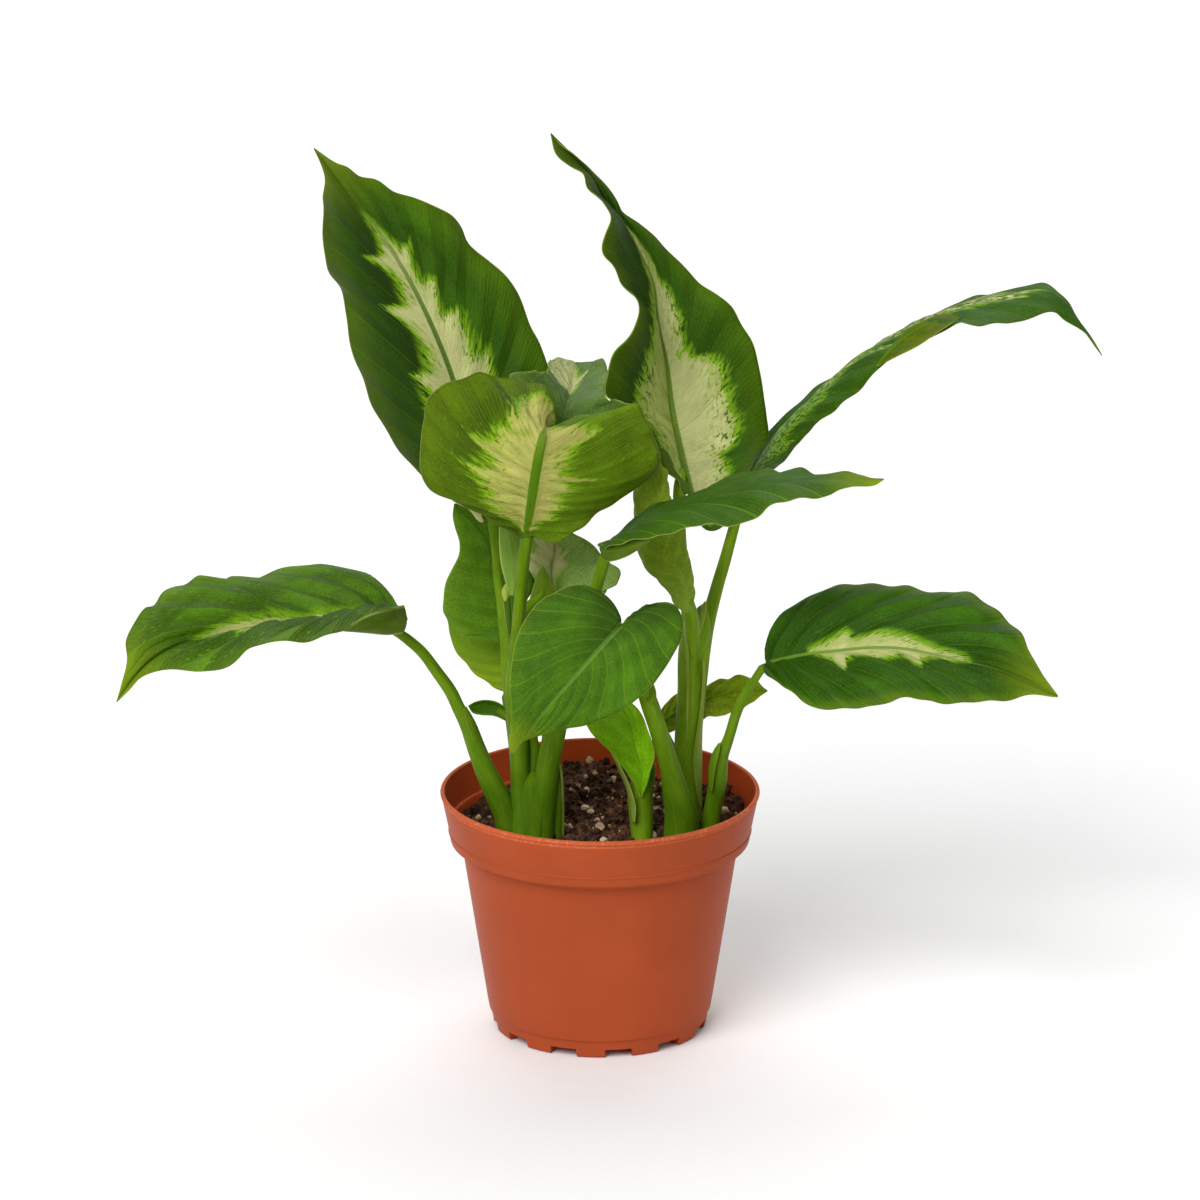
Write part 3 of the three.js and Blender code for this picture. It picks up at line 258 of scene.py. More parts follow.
# Scraps of sheath, bud and fold: the piece that each belongs to, its look, its arch and the
# readings along its two margins.
SCRAPS = [
    # Fold of the left back leaf.
    ("leaf_back_left", "fold", 0.2,
     "464 636 14, 474 631 13, 485 630 13, 499 633 12",
     "464 636 14, 476 636 12, 488 638 11, 499 642 10"),
    # Basal lobes turned over: of the tall centre leaf, the narrow leaf and the low left leaf.
    ("leaf_top_centre", "lobe", 0.2,
     "661 449 8, 660 462 8, 664 471 9, 671 476 10, 678 481 10, 680 488 11, 684 496 12",
     "662 447 8, 668 453 10, 672 461 11, 675 470 12, 680 477 12, 687 484 13, 690 490 13"),
    ("leaf_front_narrow", "lobe", 0.15,
     "600 545 -24, 612 543 -32, 632 539 -38, 654 536 -42",
     "600 550 -24, 606 561 -30, 628 556 -37, 654 538 -42"),
    ("leaf_left_low", "lobe", 0.1,
     "343 630 -52, 366 616 -50, 386 609 -42, 404 605 -31",
     "343 631 -50, 365 633 -44, 388 635 -33, 403 633 -24"),
    # Small leaf between the left stalks.
    ("left_shoots", "pale_leaf", 0.15,
     "499 520 4, 499 545 4, 501 565 4, 505 580 3, 510 596 2",
     "512 520 5, 520 538 6, 522 552 6, 519 571 4, 514 596 2"),
    # Sheath that joins the two front left stalks at their foot.
    ("left_shoots", "clasp", 0.03,
     "531 771 -12.5, 525 781 -14.7, 520 794 -15.3, 521 814 -17.1, 523 842 -19.3",
     "533 770 -13.5, 540 779 -19.2, 545 792 -19.5, 543 814 -19.2, 541 842 -18.9"),
    # Mouths of the sheaths.
    ("left_shoots", "pale", 0.3,
     "505 602 5, 502 595 6, 502 590 7, 505 584 8",
     "507 602 5, 509 595 6, 509 589 7, 507 584 8"),
    ("left_shoots", "sheath", 0.25,
     "503 599 6, 505 615 3, 508 634 0",
     "511 597 6, 512 615 3, 511 634 0"),
    ("left_shoots", "sheath", 0.3,
     "527 570 2, 527 585 1, 526 600 -1",
     "529 571 3, 535 584 2, 527 600 -1"),
    ("left_shoots", "leafy", 0.15,
     "543 566 2, 537 575 1, 533 587 0, 529 601 -2, 526 612 -3",
     "543 566 2, 549 577 1, 554 590 0, 548 602 -2, 541 612 -3"),
    ("left_shoots", "lime", 0.2,
     "543 591 -2, 534 597 -3, 524 602 -4",
     "544 593 -2, 537 605 -3, 524 622 -4"),
    ("left_shoots", "green", 0.15,
     "463 708 -18, 466 722 -18, 474 742 -17",
     "466 706 -17, 474 720 -16, 480 742 -16"),
    ("left_shoots", "fold", -0.25,
     "468 706 2, 475 702 2, 485 700 2, 497 702 2, 508 709 1",
     "468 706 2, 473 713 2, 481 715 2, 494 716 2, 508 722 1"),
    ("left_shoots", "pale", 0.1,
     "559 764 -15, 561 780 -15, 562 805 -14, 562 838 -13",
     "560 763 -14, 563 780 -13, 564 805 -13, 564 838 -12"),
    # Wings of the sheath round the young leaf.
    ("centre_shoot", "pale", 0.1,
     "611 752 -12, 616 763 -11, 620 773 -10, 625 784 -10, 628 795 -11, 630 808 -12, 633 822 -13",
     "612 752 -14, 619 763 -14, 624 773 -14, 629 784 -14, 633 795 -15, 636 808 -16, 635 823 -17"),
    ("centre_shoot", "pale", 0.1,
     "655 763 -9, 653 776 -9, 651 792 -10, 650 810 -11, 648 838 -13",
     "656 762 -8, 655 776 -8, 653 792 -9, 653 810 -10, 653 838 -12"),
    ("centre_shoot", "leafy", 0.1,
     "650 768 -9, 646 780 -9, 645 800 -10",
     "655 764 -9, 654 780 -9, 652 800 -10"),
    # Tips and pale margins of the right sheaths.
    ("right_front_shoot", "green", 0.2,
     "646 702 -28, 649 692 -27, 652 683 -26",
     "656 704 -27, 656 692 -26, 653 683 -25"),
    ("right_shoot", "edge", 0.2,
     "696 632 4, 699 614 7, 704 602 11",
     "701 633 4, 706 613 7, 707 602 11"),
    ("right_shoot", "edge", 0.05,
     "683 620 6, 685 645 4, 686 670 3, 686 700 1, 686 745 -1",
     "684 620 5, 688 645 3, 689 670 2, 689 700 1, 687 745 -1"),
    ("right_shoot", "edge", 0.1,
     "703 660 2, 702 684 2, 699 715 1, 695 742 -1, 693 762 -2, 695 785 -3, 700 808 -3",
     "704 660 4, 705 684 4, 703 715 3, 702 742 2, 702 762 1, 702 785 0, 702 808 -1"),
    ("right_low_shoot", "green", 0.2,
     "709 790 -14, 709 766 -15, 713 752 -15, 719 743 -15",
     "712 792 -16, 716 766 -17, 719 754 -17, 721 743 -16"),
]

# The pot's radii and heights, and the soil's edge, in mm.
RIM_RADIUS = 52.5
POT_HEIGHT = 81.0
BAND_TOP_RADIUS = 51.9
BAND_BOTTOM_RADIUS = 49.3
BAND_BOTTOM = 64.3
BODY_TOP_RADIUS = 45.5
BODY_TOP = 62.6
FOOT_LINE = 6.3
FOOT_LINE_RADIUS = 36.8
FOOT_RADIUS = 35.2
WALL = 1.3
FLOOR_UNDERSIDE = 3.2
FLOOR_TOP = 4.7
FOOT_RING = 4.2
PAD_RADIUS = 8.0
NOTCH_COUNT = 12
NOTCH_FIRST = -80
NOTCH_WIDTH = 9.0
NOTCH_HEIGHT = 2.8
SOIL_EDGE = 68.2
LEDGE = 70.0
LEDGE_RADIUS = 49.0


# Geometry helpers.
def unit(v):
    return v / np.maximum(np.linalg.norm(v, axis=-1, keepdims=True), 1e-9)


def smooth(x, low, high):
    f = np.clip((x - low) / (high - low), 0, 1)
    return f * f * (3 - 2 * f)


def place(across, down, depth):
    """World point in mm of a grid reading at a given depth."""
    right = (across - GRID_CENTRE) * GRID / VIEW_DISTANCE
    up = (GRID_CENTRE - down) * GRID / VIEW_DISTANCE
    cos, sin = math.cos(VIEW_TILT), math.sin(VIEW_TILT)
    eye = np.array([0, -VIEW_DISTANCE * cos, VIEW_HEIGHT + VIEW_DISTANCE * sin])
    ray = np.array([right, cos + up * sin, up * cos - sin])
    return eye + ray * (depth - eye[1]) / ray[1]


class Curve:
    """Smooth curve through grid readings, addressed by its share of arc length."""
    STEPS = 12

    def __init__(self, points):
        p = np.array([place(*r[:3]) for r in points])
        every = np.vstack([2 * p[0] - p[1], p, 2 * p[-1] - p[-2]])
        f = (np.arange(self.STEPS) / self.STEPS)[:, None]
        spans = []
        for i in range(len(p) - 1):
            a, b, c, d = every[i:i + 4]
            ab, bc, cd = [math.sqrt(np.linalg.norm(q - r)) for q, r in ((b, a), (c, b), (d, c))]
            leave = bc * ((b - a) / ab + (c - b) / bc - (c - a) / (ab + bc))
            arrive = bc * ((c - b) / bc + (d - c) / cd - (d - b) / (bc + cd))
            spans.append((2 * f**3 - 3 * f**2 + 1) * b + (f**3 - 2 * f**2 + f) * leave
                         + (3 * f**2 - 2 * f**3) * c + (f**3 - f**2) * arrive)
        self.points = np.vstack(spans + [p[-1:]])
        gaps = np.linalg.norm(np.diff(self.points, axis=0), axis=1)
        reach = np.concatenate([[0], np.cumsum(gaps)])
        self.length = reach[-1]
        self.shares = reach / reach[-1]

    def at(self, share):
        return np.stack([np.interp(share, self.shares, axis) for axis in self.points.T], -1)

    def smoothed(self, share, reach=0.012):
        """Like at, with the small corners between the curve's own points averaged out."""
        spots = [self.at(np.clip(share + d * reach, 0, 1)) for d in (-1, -0.5, 0, 0.5, 1)]
        mean = (spots[0] + 2 * spots[1] + 2 * spots[2] + 2 * spots[3] + spots[4]) / 8
        fade = np.clip(np.minimum(share, 1 - share) / reach, 0, 1)[:, None]
        return fade * mean + (1 - fade) * spots[2]

    def direction(self, share, reach=0.02):
        ahead, behind = np.clip(share + reach, 0, 1), np.clip(share - reach, 0, 1)
        return unit(self.at(ahead) - self.at(behind))


def grid_normals(grid):
    return unit(np.cross(np.gradient(grid, axis=0), np.gradient(grid, axis=1)))


def add_object(name, data):
    obj = bpy.data.objects.new(name, data)
    bpy.context.scene.collection.objects.link(obj)
    return obj


def new_mesh(name, verts, faces, materials, face_material=None, layers=None, smooth_faces=True):
    """verts in mm; layers: name -> array of (x, y) for each vertex."""
    mesh = bpy.data.meshes.new(name)
    verts = np.asarray(verts, float).reshape(-1, 3) * MM
    mesh.from_pydata(verts.tolist(), [], [tuple(f) for f in faces])
    for layer_name, values in (layers or {}).items():
        layer = mesh.uv_layers.new(name=layer_name)
        corner = np.empty(len(mesh.loops), np.int32)
        mesh.loops.foreach_get("vertex_index", corner)
        layer.data.foreach_set("uv", np.asarray(values, np.float32)[corner].ravel())
    for material in materials:
        mesh.materials.append(material)
    if face_material is not None:
        mesh.polygons.foreach_set("material_index", np.asarray(face_material, np.int32))
    mesh.polygons.foreach_set("use_smooth", [smooth_faces] * len(mesh.polygons))
    mesh.update()
    return add_object(name, mesh)


def closed_sheet(top, bottom):
    """Verts and faces of a thin closed piece between two grids of points, the top ones first."""
    index = np.arange(top[..., 0].size).reshape(top.shape[:2])
    a, b, c, d = index[:-1, :-1], index[1:, :-1], index[1:, 1:], index[:-1, 1:]
    upper = np.stack([a, b, c, d], -1).reshape(-1, 4)
    lower = np.stack([a, d, c, b], -1).reshape(-1, 4) + index.size
    rim = np.concatenate([index[0, :], index[1:, -1], index[-1, -2::-1], index[-2:0:-1, 0]])
    following = np.roll(rim, -1)
    edge = np.stack([rim, following, following + index.size, rim + index.size], -1)
    verts = np.vstack([top.reshape(-1, 3), bottom.reshape(-1, 3)])
    return verts, np.vstack([upper, lower, edge]).tolist()


def ring_at(radius, height, angle):
    """Ring of points about the upright axis; the height may change round it."""
    x, y = radius * np.cos(angle), radius * np.sin(angle)
    return np.stack([x, y, np.broadcast_to(height, x.shape)], -1)


def tube(rings):
    """Verts and faces of a closed tube from rings of points (stations x sides)."""
    stations, sides = rings.shape[:2]
    verts = np.vstack([rings.reshape(-1, 3), rings[0].mean(0), rings[-1].mean(0)])
    index = np.arange(stations * sides).reshape(stations, sides)
    nxt = np.roll(index, -1, axis=1)
    walls = np.stack([index[:-1], nxt[:-1], nxt[1:], index[1:]], -1).reshape(-1, 4).tolist()
    first, last = stations * sides, stations * sides + 1
    walls += [(first, nxt[0, j], index[0, j]) for j in range(sides)]
    walls += [(last, index[-1, j], nxt[-1, j]) for j in range(sides)]
    return verts, walls


def join_pieces(name, pieces, materials):
    """One mesh out of several (verts, faces, uv, material index) parts."""
    verts, faces, which, uvs, start = [], [], [], [], 0
    for v, f, uv, m in pieces:
        verts.append(v)
        uvs.append(uv)
        faces += [tuple(i + start for i in face) for face in f]
        which += [m] * len(f)
        start += len(v)
    return new_mesh(name, np.vstack(verts), faces, materials, which, {"along": np.vstack(uvs)})


# Materials.
def rgb(r, g, b):
    """Linear colour of an 8-bit screen colour."""
    def linear(c):
        c /= 255
        return c / 12.92 if c <= 0.04045 else ((c + 0.055) / 1.055) ** 2.4
    return (linear(r), linear(g), linear(b), 1.0)


def tinted(shade, factor):
    return [min(1.0, c * factor) for c in shade[:3]] + [1.0]


class Nodes:
    """Short way to write a material's nodes."""

    def __init__(self, name):
        self.material = bpy.data.materials.new(name)
        self.material.use_nodes = True
        self.tree = self.material.node_tree
        self.tree.nodes.clear()
        self.shader = self.new("BsdfPrincipled")
        self.new("OutputMaterial", Surface=self.shader.outputs[0])

    def put(self, socket, value):
        if hasattr(value, "is_output"):
            self.tree.links.new(value, socket)
        else:
            socket.default_value = value

    def put_named(self, node, values):
        """Sets or links inputs by name, written with _ for a space."""
        for key, value in values.items():
            self.put(node.inputs[key.replace("_", " ")], value)

    def new(self, kind, *values, **named):
        """A node with its first inputs set in order, or any by name."""
        node = self.tree.nodes.new(f"ShaderNode{kind}")
        for socket, value in zip(node.inputs, values):
            self.put(socket, value)
        self.put_named(node, named)
        return node

    def math(self, operation, a, b=0.0):
        node = self.new("Math", a, b)
        node.operation = operation
        return node.outputs[0]

    def add(self, a, b):
        return self.math("ADD", a, b)

    def sub(self, a, b):
        return self.math("SUBTRACT", a, b)

    def mul(self, a, b):
        return self.math("MULTIPLY", a, b)

    def size(self, a):
        return self.math("ABSOLUTE", a)

    def inverse(self, a):
        return self.sub(1.0, a)

    def step(self, value, low, high):
        """0 below low, 1 above high, smooth between."""
        node = self.new("MapRange", Value=value, From_Min=low, From_Max=high)
        node.interpolation_type = "SMOOTHSTEP"
        return node.outputs["Result"]

    def drop(self, value, low, high):
        """1 below low, 0 above high, smooth between."""
        return self.inverse(self.step(value, low, high))

    def mix(self, factor, a, b):
        node = self.new("Mix", factor)
        node.data_type = "RGBA"
        self.put(node.inputs[6], a)
        self.put(node.inputs[7], b)
        return node.outputs[2]

    def layers(self, colour, layers):
        """A colour under layers, each a mask, an amount and the colour that it lays on."""
        for mask, amount, over in layers:
            colour = self.mix(self.mul(mask, amount), colour, over)
        return colour

    def split(self, vector):
        return self.new("SeparateXYZ", vector).outputs

    def uv(self, layer):
        node = self.new("UVMap")
        node.uv_map = layer
        return self.split(node.outputs[0])[:2]

    def vector(self, x, y, z=0.0):
        return self.new("CombineXYZ", x, y, z).outputs[0]

    def place(self):
        return self.new("TexCoord").outputs["Object"]

    def noise(self, vector, scale, detail=3.0, roughness=0.55):
        node = self.new("TexNoise", Vector=vector, Scale=scale, Detail=detail, Roughness=roughness)
        return node.outputs["Fac"]

    def ramp(self, value, stops):
        """stops: pairs of a position and a grey or a colour."""
        node = self.new("ValToRGB", value)
        elements = node.color_ramp.elements
        while len(elements) < len(stops):
            elements.new(0.5)
        for element, (position, shade) in zip(elements, stops):
            element.position = position
            element.color = shade if hasattr(shade, "__len__") else (shade, shade, shade, 1)
        return node.outputs[0]

    def bump(self, height, distance, strength=1.0):
        return self.new("Bump", Strength=strength, Distance=distance, Height=height).outputs[0]

    def finish(self, colour, roughness, **more):
        self.put_named(self.shader, {"Base_Color": colour, "Roughness": roughness, **more})
        return self.material


DARK = rgb(46, 80, 3)
LIME = rgb(120, 164, 24)
CREAM = rgb(200, 202, 136)
UNDER_DARK = rgb(76, 102, 10)
UNDER_CREAM = rgb(188, 186, 100)
UNDER_RIB = rgb(82, 122, 4)
YELLOW = rgb(132, 156, 20)
PALE_LINE = rgb(160, 176, 78)

# Looks of a leaf blade, where its own entry in LOOKS doesn't say otherwise.
PLAIN_LOOK = dict(
    # Tints of the upper and lower face; how much lighter the clouds are; painted light and shade on
    # each half, as a factor on its greens.
    green=DARK, under=UNDER_DARK, lit=1.5, sides=(1.0, 1.0),
    # Side veins: how many, how they slant, their lime line, relief, painted shade across each band
    # between them, and hairlines.
    veins=13, slant=0.3, vein=0.08, quilt=0.5, band=0.25, hair=0.4,
    # The cream zone's edge: jags, spikes and their count, lime round it; specks near and in it.
    teeth=0.5, wild=0.75, spikes=14.0, halo=0.13, freckles=0.0, mottle=0.18, fleck=0.585,
    island=LIME, streaks=(0.0, 0.0), blush=0.0, wash=0.0,
    # The middle, the tip, the margin and the foot; on the heart leaf the foot's dark tint is
    # painted shade.
    core=0.0, tip=0.0, margin=0.15, margin_from=0.6, line=0.6, base=0.0, base_colour=YELLOW,
    # Rib: its colour line, how wide it is, how fast it tapers, and its ridge underneath.
    rib=0.9, rib_colour=rgb(80, 120, 18), keel=1.0, taper=0.75, ridge=1.0,
    # Ripples at the margin, where the bulge flattens out, and gloss.
    ripple=1.0, settle=(2, 3), gloss=0.1,
)


def leaf_look(left="0 0, 1 0", right=None, **changes):
    """left, right: where the cream ends, as share of the length and share of the half width."""
    return {**PLAIN_LOOK, **changes,
            "cream_left": readings(left), "cream_right": readings(right or left)}


def leaf_material(name, look, under, seed):
    """look: from leaf_look. t runs from foot to tip, s from the rib out to the margin."""
    n = Nodes(name)
    t, y = n.uv("rows")
    width, span = n.uv("flat")
    signed = n.sub(n.mul(y, 2.0), 1.0)
    s = n.size(signed)
    left = n.step(signed, -0.001, 0.001)
    off_rib = n.size(n.mul(n.sub(width, 0.5), FLAT_SPAN))
    shift = n.add(n.mul(left, 3.7), float(seed))
    curve = n.mul(s, n.sub(1.0, n.mul(s, 0.5)))
    vt = n.sub(t, n.mul(curve, look["slant"]))

    def streaky(along, across, detail, roughness, offset=shift):
        """Noise drawn out between the veins."""
        return n.noise(n.vector(n.mul(vt, along), n.mul(s, across), offset), 1.0, detail, roughness)
    spikes = streaky(look["spikes"], 0.9, 1.5, 0.5)
    spikes = n.math("POWER", n.step(spikes, 0.44, 0.74), 1.6)
    teeth = streaky(46.0, 1.8, 4.0, 0.65)
    fine = streaky(150.0, 10.0, 3.0, 0.6)
    specks = streaky(84.0, 20.0, 2.5, 0.5, n.add(shift, 11.0))
    streaks = streaky(40.0, 4.0, 4.0, 0.65, n.add(shift, 5.0))
    broad = n.noise(n.vector(n.mul(t, 6.0), n.mul(s, 2.5), shift), 1.0, 3.0)
    stipple = n.noise(n.vector(n.mul(width, 160.0), n.mul(span, 160.0)), 1.0, 2.0, 0.6)

    def by_half(on_left, on_right):
        return n.add(n.mul(left, on_left), n.mul(n.inverse(left), on_right))
    near = n.sub(t, n.mul(curve, 0.06))
    right_edge = n.ramp(near, look["cream_right"])
    edge = by_half(n.ramp(near, look["cream_left"]), right_edge)
    present = n.step(edge, 0.0, 0.04)
    jag = n.add(n.mul(n.sub(teeth, 0.5), 0.6), n.mul(n.sub(fine, 0.5), 0.45))
    jag = n.add(jag, n.mul(n.sub(spikes, 0.15), look["wild"]))
    jag = n.mul(jag, n.mul(n.step(edge, 0.0, 0.3), look["teeth"]))
    reach = n.sub(n.add(edge, jag), s)
    cream = n.mul(n.step(reach, -0.004, 0.018), present)
    lime_zone = n.mul(n.step(reach, -look["halo"], 0.0), present)
    lime = n.mul(lime_zone, n.step(n.add(fine, n.mul(specks, 0.6)), 0.64, 0.8))
    freckles = n.mul(look["freckles"], n.step(specks, 0.60, 0.65))

    phase = n.math("FRACT", n.add(n.mul(vt, float(look["veins"])), n.mul(left, VEIN_STAGGER)))
    vein = n.drop(n.size(n.sub(phase, 0.5)), 0.0, 0.06)
    fine_phase = n.math("FRACT", n.add(n.mul(vt, look["veins"] * 9.0), n.mul(fine, 0.5)))
    hairline = n.size(n.sub(fine_phase, 0.5))

    base, pale = (look["under"], UNDER_CREAM) if under else (look["green"], CREAM)
    # sides paints light and shade on each half: a factor on every green of that half.
    left_painted_light, right_painted_light = look["sides"]

    def shade(factor):
        return n.mix(left, tinted(base, factor * right_painted_light), tinted(base, factor * left_painted_light))
    dark, lit = shade(1.0), shade(look["lit"])
    green = n.layers(n.mix(n.step(broad, 0.3, 0.75), dark, lit), [
        # Painted shade: each band between side veins darkens towards the next one, as if its relief
        # were lit from one side.
        (n.step(phase, 0.1, 0.95), look["band"], shade(0.5)),
        (n.drop(s, 0.2, 0.75), look["core"], shade(0.6)),
        # Painted highlight on the fine stipple's raised spots and painted shade in its pits; the
        # same noise also drives the bump.
        (n.step(stipple, 0.5, 0.72), 0.45, shade(2.0)),
        (n.drop(stipple, 0.3, 0.5), 0.45, shade(0.5)),
        (n.step(hairline, 0.3, 0.5), look["hair"], shade(1.75)),
        (n.step(s, look["margin_from"], 1.0), look["margin"], YELLOW),
        (n.step(t, 0.8, 1.0), look["tip"], YELLOW),
        (n.drop(t, 0.0, 0.55), look["base"], look["base_colour"]),
        (vein, look["vein"], LIME),
        (lime, 1.0, LIME),
        (n.step(teeth, 0.42, 0.6), freckles, LIME),
    ])
    clouds = n.step(n.add(n.mul(fine, 0.5), n.mul(broad, 0.5)), 0.35, 0.65)
    inner = n.layers(n.mix(clouds, tinted(pale, 0.78), pale), [
        (n.drop(reach, 0.0, 0.16), 0.45, YELLOW),
        (n.drop(t, 0.35, 0.55), look["wash"], LIME),
        (vein, 0.18, YELLOW),
        (left, look["blush"], YELLOW),
        (n.step(streaks, 0.45, 0.68), by_half(*look["streaks"]), n.mix(0.45, YELLOW, dark)),
    ])
    islands = n.mul(n.step(specks, look["fleck"], look["fleck"] + 0.05),
                    n.drop(reach, 0.0, look["mottle"]))
    thick = n.mul(n.math("MAXIMUM", n.sub(1.2, n.mul(t, look["taper"])), 0.15), look["keel"])
    rib = n.drop(off_rib, n.mul(thick, 0.75), thick)
    faint = n.inverse(n.mul(n.step(t, 0.55, 0.95), 0.7))
    colour = n.layers(green, [
        (cream, 1.0, inner),
        (cream, islands, n.mix(n.step(broad, 0.4, 0.6), look["island"], lit)),
        (n.mul(rib, faint), look["rib"], UNDER_RIB if under else look["rib_colour"]),
        (n.step(s, 0.986, 0.996), look["line"], PALE_LINE),
    ])
    height = n.add(n.add(n.mul(hairline, 0.4), n.mul(fine, 0.4)), n.mul(stipple, 0.9))
    roughness, gloss = (0.52, 0.6 * look["gloss"]) if under else (0.42, look["gloss"])
    return n.finish(colour, n.add(roughness, n.mul(broad, 0.12)),
                    Normal=n.bump(height, 0.0004, 0.8), Specular_IOR_Level=gloss)


# Leaf blades.
FOOT_ROWS = (0.004, 0.012)
TIP_ROWS = (0.985, 0.997)
COLUMN_SPACING = 1.35
WAVE_PHASES = (0.1, 0.5)
VEIN_STAGGER = 0.4
RIB_DEPTH = 1.3
# Rows along a blade and columns across each half of it.
LARGE_GRID = (170, 34)
SMALL_GRID = (110, 24)
# Half the thickness of a blade, in mm, and of its margin.
HALF_BLADE = 0.22
HALF_MARGIN = 0.09
# mm across that the UV layer "flat" spans.
FLAT_SPAN = 100.0


def blade_points(form, rows, columns, settle=(2, 3)):
    """Grid of points from foot to tip and from the right margin over the rib to the left one."""
    rib = Curve(form["rib"])
    t = FOOT_ROWS[1] + (TIP_ROWS[0] - FOOT_ROWS[1]) * np.linspace(0, 1, rows + 1)
    t = np.concatenate([FOOT_ROWS[:1], t[:-1], TIP_ROWS])
    v = np.linspace(0, 1, columns + 1) ** COLUMN_SPACING
    root = rib.smoothed(t ** form["sweep"])
    along = rib.direction(t ** form["sweep"])
    halves, widths = [], []
    for half, (side, hand) in enumerate((("left", 1), ("right", -1))):
        chord = Curve(form[side]).smoothed(t, 0.006) - root
        width = np.linalg.norm(chord, axis=1)
        lean = np.maximum(np.linalg.norm(np.cross(along, unit(chord)), axis=1), 0.25)
        up = unit(np.cross(along, chord) * hand)
        height, count = form["waves"][half]
        wave = height * np.sin(2 * np.pi * (count * t + WAVE_PHASES[half]))
        wave = wave * np.sqrt(np.sin(np.pi * t))
        arc = 4 * v * (1 - v) * width[:, None]
        bulge = form["bulge"][half] * (1 - smooth(t, *settle))[:, None]
        rise = bulge * arc + wave[:, None] * v**2
        halves.append(root[:, None] + chord[:, None] * v[None, :, None]
                      + up[:, None] * rise[..., None]
                      - along[:, None] * (form["bow"] * arc)[..., None])
        widths.append(v * (width * lean)[:, None])
    grid = np.concatenate([halves[1][:, ::-1], halves[0][:, 1:]], axis=1)
    off_rib = np.concatenate([-widths[1][:, ::-1], widths[0][:, 1:]], axis=1)
    side = np.concatenate([-v[::-1], v[1:]])
    return grid, t, side, off_rib, rib.length


def make_blade(name, form, look, seed, node=None):
    rows, columns = LARGE_GRID if form["large"] else SMALL_GRID
    grid, t, side, off_rib, length = blade_points(form, rows, columns, look["settle"])
    normals = grid_normals(grid)
    T, S = np.meshgrid(t, side, indexing="ij")
    A = np.abs(S)

    # Tissue swells between the side veins, away from rib, margin, foot and tip.
    lead = look["slant"] * A * (1 - 0.5 * A)
    phase = ((T - lead) * look["veins"] + np.where(S > 0, VEIN_STAGGER, 0.0)) % 1.0
    off_vein = np.abs(phase - 0.5)
    inside = smooth(A, 0.02, 0.2) * (1 - smooth(A, 0.75, 1.0))
    inside = inside * smooth(T, 0.0, 0.1) * (1 - smooth(T, 0.75, 1))
    quilt = look["quilt"] * (off_vein * 2) ** 1.5 * inside
    groove = -look["quilt"] * 0.5 * np.exp(-(off_vein / 0.07) ** 2) * inside

    rng = np.random.default_rng(seed)
    ripple = np.zeros_like(T)
    for _ in range(4):
        count, shift, size = rng.uniform(5, 13), rng.uniform(0, 1), rng.uniform(0.15, 0.4)
        ripple += size * np.sin(2 * np.pi * (count * T + shift + 0.35 * np.sign(S)))
    ripple *= look["ripple"] * A**3 * np.sqrt(np.sin(np.pi * np.clip(T, 0, 1)))
    middle = grid + normals * (quilt + groove + ripple)[..., None]

    # A groove over the rib, a rounded ridge under it, and a thin margin.
    fade = (1 - T) ** 0.8
    rib_groove = 0.35 * fade * np.exp(-(off_rib / 0.8) ** 2)
    ridge_width = (0.5 + 0.8 * fade) * look["keel"]
    ridge = RIB_DEPTH * look["ridge"] * fade * np.exp(-(off_rib / ridge_width) ** 4)
    half = np.where(A > 0.999, HALF_MARGIN, HALF_BLADE)
    half = half * np.clip(np.minimum(T / 0.01, (1.002 - T) / 0.01), 0.3, 1)
    top = middle + normals * (half - rib_groove)[..., None]
    bottom = middle - normals * (half + ridge)[..., None]
    layers = {
        "rows": np.stack([T, 0.5 + 0.5 * S], -1),
        "flat": np.stack([0.5 + off_rib / FLAT_SPAN, T * length / FLAT_SPAN], -1),
    }
    materials = [
        leaf_material(f"{name}_upper", look, False, seed),
        leaf_material(f"{name}_under", look, True, seed),
    ]
    verts, faces = closed_sheet(top, bottom)
    on_top = (top.shape[0] - 1) * (top.shape[1] - 1)
    which = [0] * on_top + [1] * (len(faces) - on_top)
    both = {key: np.vstack([layer.reshape(-1, 2)] * 2) for key, layer in layers.items()}
    piece = new_mesh(f"blade_{name}", verts, faces, materials, which, both)
    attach(piece, "root")
    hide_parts(node or f"leaf_{name}")


